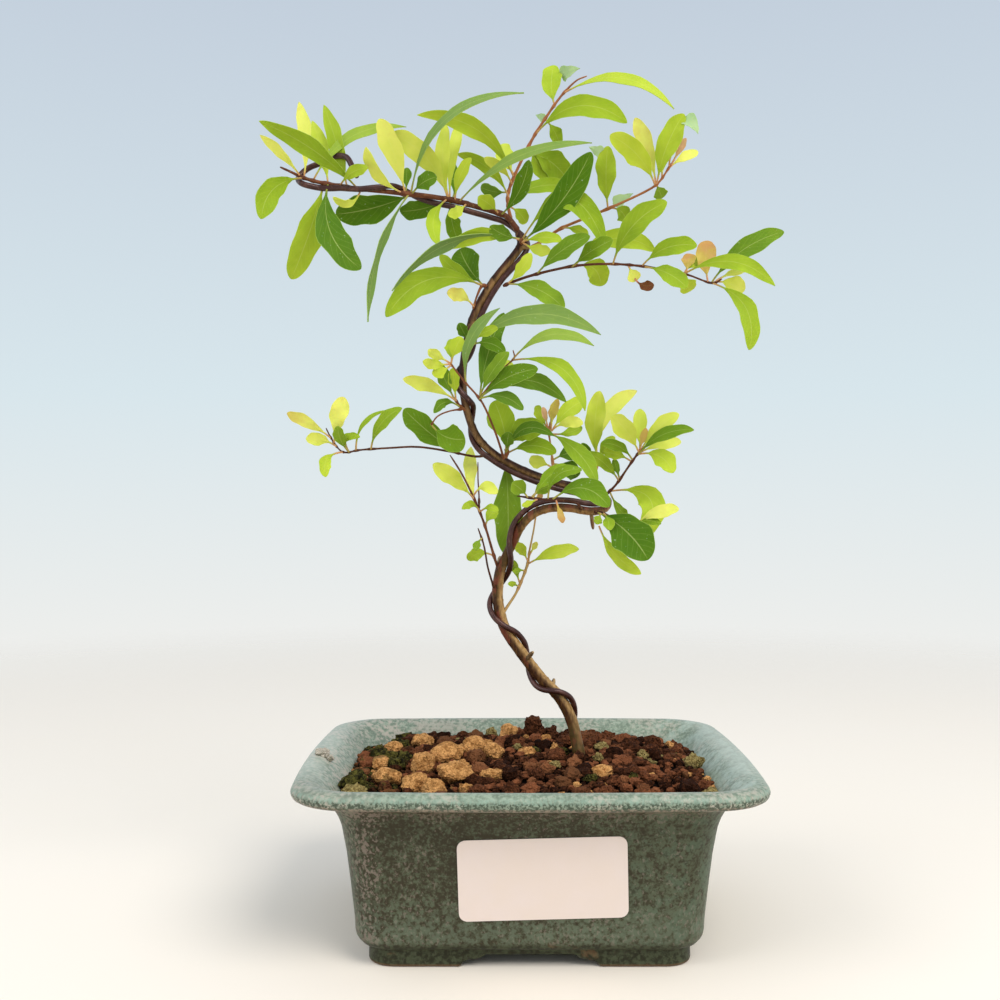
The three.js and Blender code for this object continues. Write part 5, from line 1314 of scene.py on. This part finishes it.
def blade_shape(share, slimness, age):
    """A blade's width as a share of its greatest, at a share of its length: slim leaves are pointed."""
    if age < 0:
        return min(share / 0.1, 1.0) ** 0.5 * (1 - share ** 1.5)
    widest = 0.6 if age > 0.8 else 0.54
    if share < widest:
        return math.sin(math.pi / 2 * max(share, 0.0) / widest) ** 1.25
    # Beyond its widest part, a broad blade is rounder than a slim one.
    blunt = clamped((slimness - 0.11) / 0.16)
    blunt = blunt * blunt * (3 - 2 * blunt)
    beyond = min((share - widest) / (1 - widest), 1.0)
    return (1 - beyond ** (1.6 + 0.6 * blunt)) ** (0.9 - 0.34 * blunt)


def master_leaf(steps):
    """A flat leaf one unit long with its two faces a unit apart, to copy and bend."""
    master = shaped_grid("leaf_master", 6, steps, lambda across, up: Vector((across * 2 - 1, up, 0)))
    return modified(master, "SOLIDIFY", thickness=MM, offset=0)


# A stalk's length, the most of a leaf that it takes up, and its share of the leaf's steps.
STALK_LENGTH = 2.6
LONGEST_STALK = 0.24
STALK_STEPS = 0.2
# Half the width that a leaf has at least, at its stalk and at its tip.
STALK_HALF, TIP_HALF = 0.3, 0.12


def leaf(name, master, row, settings):
    """A copy of the master leaf, bent along its row of the table."""
    base, tip = place(*row[0:3]), place(*row[3:6])
    bow, width, turn, age = row[6:10]
    chord = tip - base
    size = chord.length
    middle = base.lerp(tip, 0.5)
    sight = (EYE - middle).normalized()
    control = middle + sight.cross(chord).normalized() * (bow / 50 * size) + sight * (0.1 * size)
    stalk_end = 0.02 if age < 0 else min(STALK_LENGTH / size, LONGEST_STALK)
    slimness = width * SQUARE / size
    angle = math.radians(turn)
    piece = copied(master, name)
    corners = np.empty(len(piece.data.vertices) * 3, np.float32)
    piece.data.vertices.foreach_get("co", corners)
    corners = corners.reshape(-1, 3) / MM
    wave, phase = hash_noise(*row[0:6]), 3 * hash_noise(*row[3:9])

    def cross_section(step):
        """The leaf's middle, two directions and half width at a step, and how far along its blade that is."""
        if step < STALK_STEPS:
            share = step / STALK_STEPS * stalk_end
        else:
            share = stalk_end + (1 - stalk_end) * (step - STALK_STEPS) / (1 - STALK_STEPS)
        blade = max((share - stalk_end) / (1 - stalk_end), 0.0)
        point = base * (1 - share) ** 2 + control * (2 * share * (1 - share)) + tip * share ** 2
        tangent = ((control - base) * (1 - share) + (tip - control) * share).normalized()
        front = facing(point, tangent)
        right = tangent.cross(front)
        side, above = turned(right, front, angle), turned(front, -right, angle)
        half = width * SQUARE / 2 * blade_shape(blade, slimness, age)
        half = max(half, STALK_HALF if blade < 0.5 else TIP_HALF)
        return np.array(point), np.array(side), np.array(above), half, blade

    sections = {}
    shaped = np.empty_like(corners)
    thinner = settings.blade_edge - settings.blade_middle
    for index, (across, up, lift) in enumerate(corners):
        step = round(1 - (1 - float(up)) ** 1.7, 4)
        if step not in sections:
            sections[step] = cross_section(step)
        point, side, above, half, blade = sections[step]
        across, lift = float(across), float(lift)
        # Its edges wave in two lengths, and each side on its own.
        edge = math.copysign(1.2, across) + phase
        half *= 1 + 0.07 * math.sin(12 * blade + edge) + 0.045 * math.sin(21 * blade - 1.4 * edge)
        flesh = settings.blade_middle + thinner * min(abs(across) * 1.6, 1.0)
        flesh = flesh / MM if blade > 0 else 0.7 * math.sqrt(max(1.05 - across * across, 0.02))
        ripple = 0.2 * half * wave * abs(across) ** 1.5 * math.sin(13 * blade + edge) * min(4 * blade, 1.0)
        height = 0.2 * half * abs(across) ** 1.4 + ripple
        shaped[index] = point + side * (across * half) + above * (height + lift * flesh)
    piece.data.vertices.foreach_set("co", (shaped * MM).astype(np.float32).ravel())
    under = piece.data.attributes.new("under", "FLOAT", "POINT")
    under.data.foreach_set("value", (corners[:, 2] < 0).astype(np.float32))
    # Painted sheen: strong on long slim leaves, slight and random on the others.
    marked(piece, "cast", 1.0 if slimness < 0.16 and size > 20 else 0.15 * abs(hash_noise(*row[1:8])))
    return marked(piece, "age", age)


# How near a twig a leaf has to stand to swell it, and how long that swelling is.
JOINT_REACH = 2.5
JOINT_LENGTH = 0.8


def joints_of(rows, leaves):
    """A function that swells a twig at its foot and where leaves stand near it."""
    curve = curve_of(rows)
    steps = 12 * (len(rows) - 1)
    points = [curve.point(step / steps) for step in range(steps + 1)]
    twig_length = sum((b - a).length for a, b in zip(points, points[1:]))
    joints = [0.5 / twig_length]
    for row in leaves:
        near, step = min(((point - place(*row[:3])).length, step) for step, point in enumerate(points))
        if near < JOINT_REACH:
            joints.append(step / steps)

    def swelling(turn, share):
        away = min(abs(share - joint) for joint in joints) * twig_length
        return 0.22 * math.exp(-(away / JOINT_LENGTH) ** 2) + 0.02 * hash_noise(turn, share)

    return swelling


class BONSAI_OT_stems(bpy.types.Operator):
    """Makes each leafy stem: its twigs, and a leaf for each row of its table"""

    bl_idname = "bonsai.stems"
    bl_label = "Leafy Stems"

    def execute(self, context):
        settings = context.scene.bonsai.crown
        green, brown = leaf_material(settings), twig_material()
        master = master_leaf(settings.leaf_steps)
        for name, (twigs, leaves) in STEMS.items():
            pieces = []
            for number, row in enumerate(leaves):
                blade = leaf(f"{name}_leaf_{number}", master, row, settings)
                blade.data.materials.append(green)
                pieces.append(smooth(blade, 60))
            slimness = TOP_SLIMNESS if name == "stem_top_left" else TWIG_SLIMNESS
            for number, rows in enumerate(twigs):
                swelling = joints_of(rows, leaves)
                twig = stem_tube(f"{name}_twig_{number}", rows, settings.twig_sides, 8, swelling, slimness)
                marked(twig, "tone", TWIG_TONES.get(name, USUAL_TONE))
                twig.data.materials.append(brown)
                pieces.append(smooth(twig, 60))
            fitted(joined(f"{name}_foliage", pieces), name)
        removed(master)
        return {"FINISHED"}


# ---------------------------------------------------------------- stage

FLOOR_REACH = 1.1
FLOOR_HEIGHT = -0.0002
LIGHT_SIZE = 0.9
LIGHT_AIM = Vector((0, 0, 0.12))


def soft_light(name, power, place_at, light_colour):
    bpy.ops.object.light_add(type="AREA", location=place_at)
    light = bpy.context.object
    light.name = name
    light.data.energy = power
    light.data.shape = "DISK"
    light.data.size = LIGHT_SIZE
    light.data.color = light_colour
    light.rotation_euler = (LIGHT_AIM - Vector(place_at)).to_track_quat("-Z", "Y").to_euler()


def surroundings(settings):
    """Air that is pale at the floor's far edge and bluer higher up."""
    world = bpy.data.worlds.new("studio_air")
    world.use_nodes = True
    nodes = Nodes(world.node_tree)
    back = nodes.tree.nodes["Background"].inputs
    _, _, up = nodes.parts(nodes.add("ShaderNodeTexCoord", output="Generated"))
    height = up.maths("MULTIPLY_ADD", up, 0.5, 0.5)
    air = nodes.ramp(height, (0.4, settings.haze), (0.545, settings.air), (0.71, settings.sky))
    nodes.feed(back["Color"], air)
    nodes.feed(back["Strength"], settings.glow)
    return world


class BONSAI_OT_stage(bpy.types.Operator):
    """Lays the floor, lights the object softly and sets the camera in front of it"""

    bl_idname = "bonsai.stage"
    bl_label = "Stage"

    def execute(self, context):
        settings = context.scene.bonsai.stage
        bpy.ops.object.select_all(action="DESELECT")
        bpy.ops.mesh.primitive_circle_add(
            vertices=96, radius=FLOOR_REACH, fill_type="NGON", location=(0, 0, FLOOR_HEIGHT))
        floor = bpy.context.object
        floor.name = "floor"
        recipe = Recipe("plain_floor", Specular_IOR_Level=0.2)
        cloud = recipe.noise(9, 3)
        x, y, _ = recipe.parts(recipe.here)
        away = (x * x + y * y).between(0.8 * FLOOR_REACH ** 2, 0.04 * FLOOR_REACH ** 2)
        base = recipe.mix(cloud * 0.15, settings.floor, settings.haze)
        floor.data.materials.append(recipe.finish(base, 0.75 + 0.1 * cloud, Alpha=away))

        context.scene.world = surroundings(settings)
        soft_light("key_light", settings.key_power, (0.6, -0.75, 1.1), (1.0, 0.98, 0.95))
        soft_light("fill_light", settings.fill_power, (-0.95, -0.55, 0.85), (0.97, 0.98, 1.0))

        bpy.ops.object.camera_add(location=EYE * MM, rotation=(math.pi / 2, 0, 0))
        camera = bpy.context.object
        camera.name = "front_camera"
        camera.data.sensor_width = 36
        camera.data.lens = 42.12
        camera.data.clip_start = 0.01
        context.scene.camera = camera
        context.scene.view_settings.view_transform = "Standard"
        return {"FINISHED"}


# ---------------------------------------------------------------- panel and run

PANEL_ROWS = [
    ("pot", "Pot", [BONSAI_OT_pot, BONSAI_OT_label, BONSAI_OT_screen]),
    ("soil", "Soil", [BONSAI_OT_soil]),
    ("crown", "Crown", [BONSAI_OT_trunk, BONSAI_OT_wire, BONSAI_OT_stems]),
    ("stage", "Stage", [BONSAI_OT_stage]),
]


class BONSAI_PT_panel(bpy.types.Panel):
    """Lists the pieces of the bonsai and their settings"""

    bl_label = "Pomegranate Bonsai"
    bl_idname = "BONSAI_PT_panel"
    bl_space_type = "VIEW_3D"
    bl_region_type = "UI"
    bl_category = "Bonsai"

    def draw(self, context):
        for part, title, operators in PANEL_ROWS:
            settings = getattr(context.scene.bonsai, part)
            box = self.layout.box()
            box.label(text=title)
            for setting in type(settings).__annotations__:
                box.prop(settings, setting)
            for operator in operators:
                box.operator(operator.bl_idname)


OPERATORS = [operator for _, _, operators in PANEL_ROWS for operator in operators]
SETTINGS = [PotSettings, SoilSettings, CrownSettings, StageSettings, BonsaiSettings]
CLASSES = [*SETTINGS, *OPERATORS, BONSAI_PT_panel]


def register():
    for new_class in CLASSES:
        bpy.utils.register_class(new_class)
    bpy.types.Scene.bonsai = bpy.props.PointerProperty(type=BonsaiSettings)


def unregister():
    del bpy.types.Scene.bonsai
    for old_class in reversed(CLASSES):
        bpy.utils.unregister_class(old_class)


def main():
    register()
    for operator in OPERATORS:
        family, action = operator.bl_idname.split(".")
        if getattr(getattr(bpy.ops, family), action)() != {"FINISHED"}:
            raise RuntimeError(f"{operator.bl_label} did not finish")


if __name__ == "__main__":
    main()
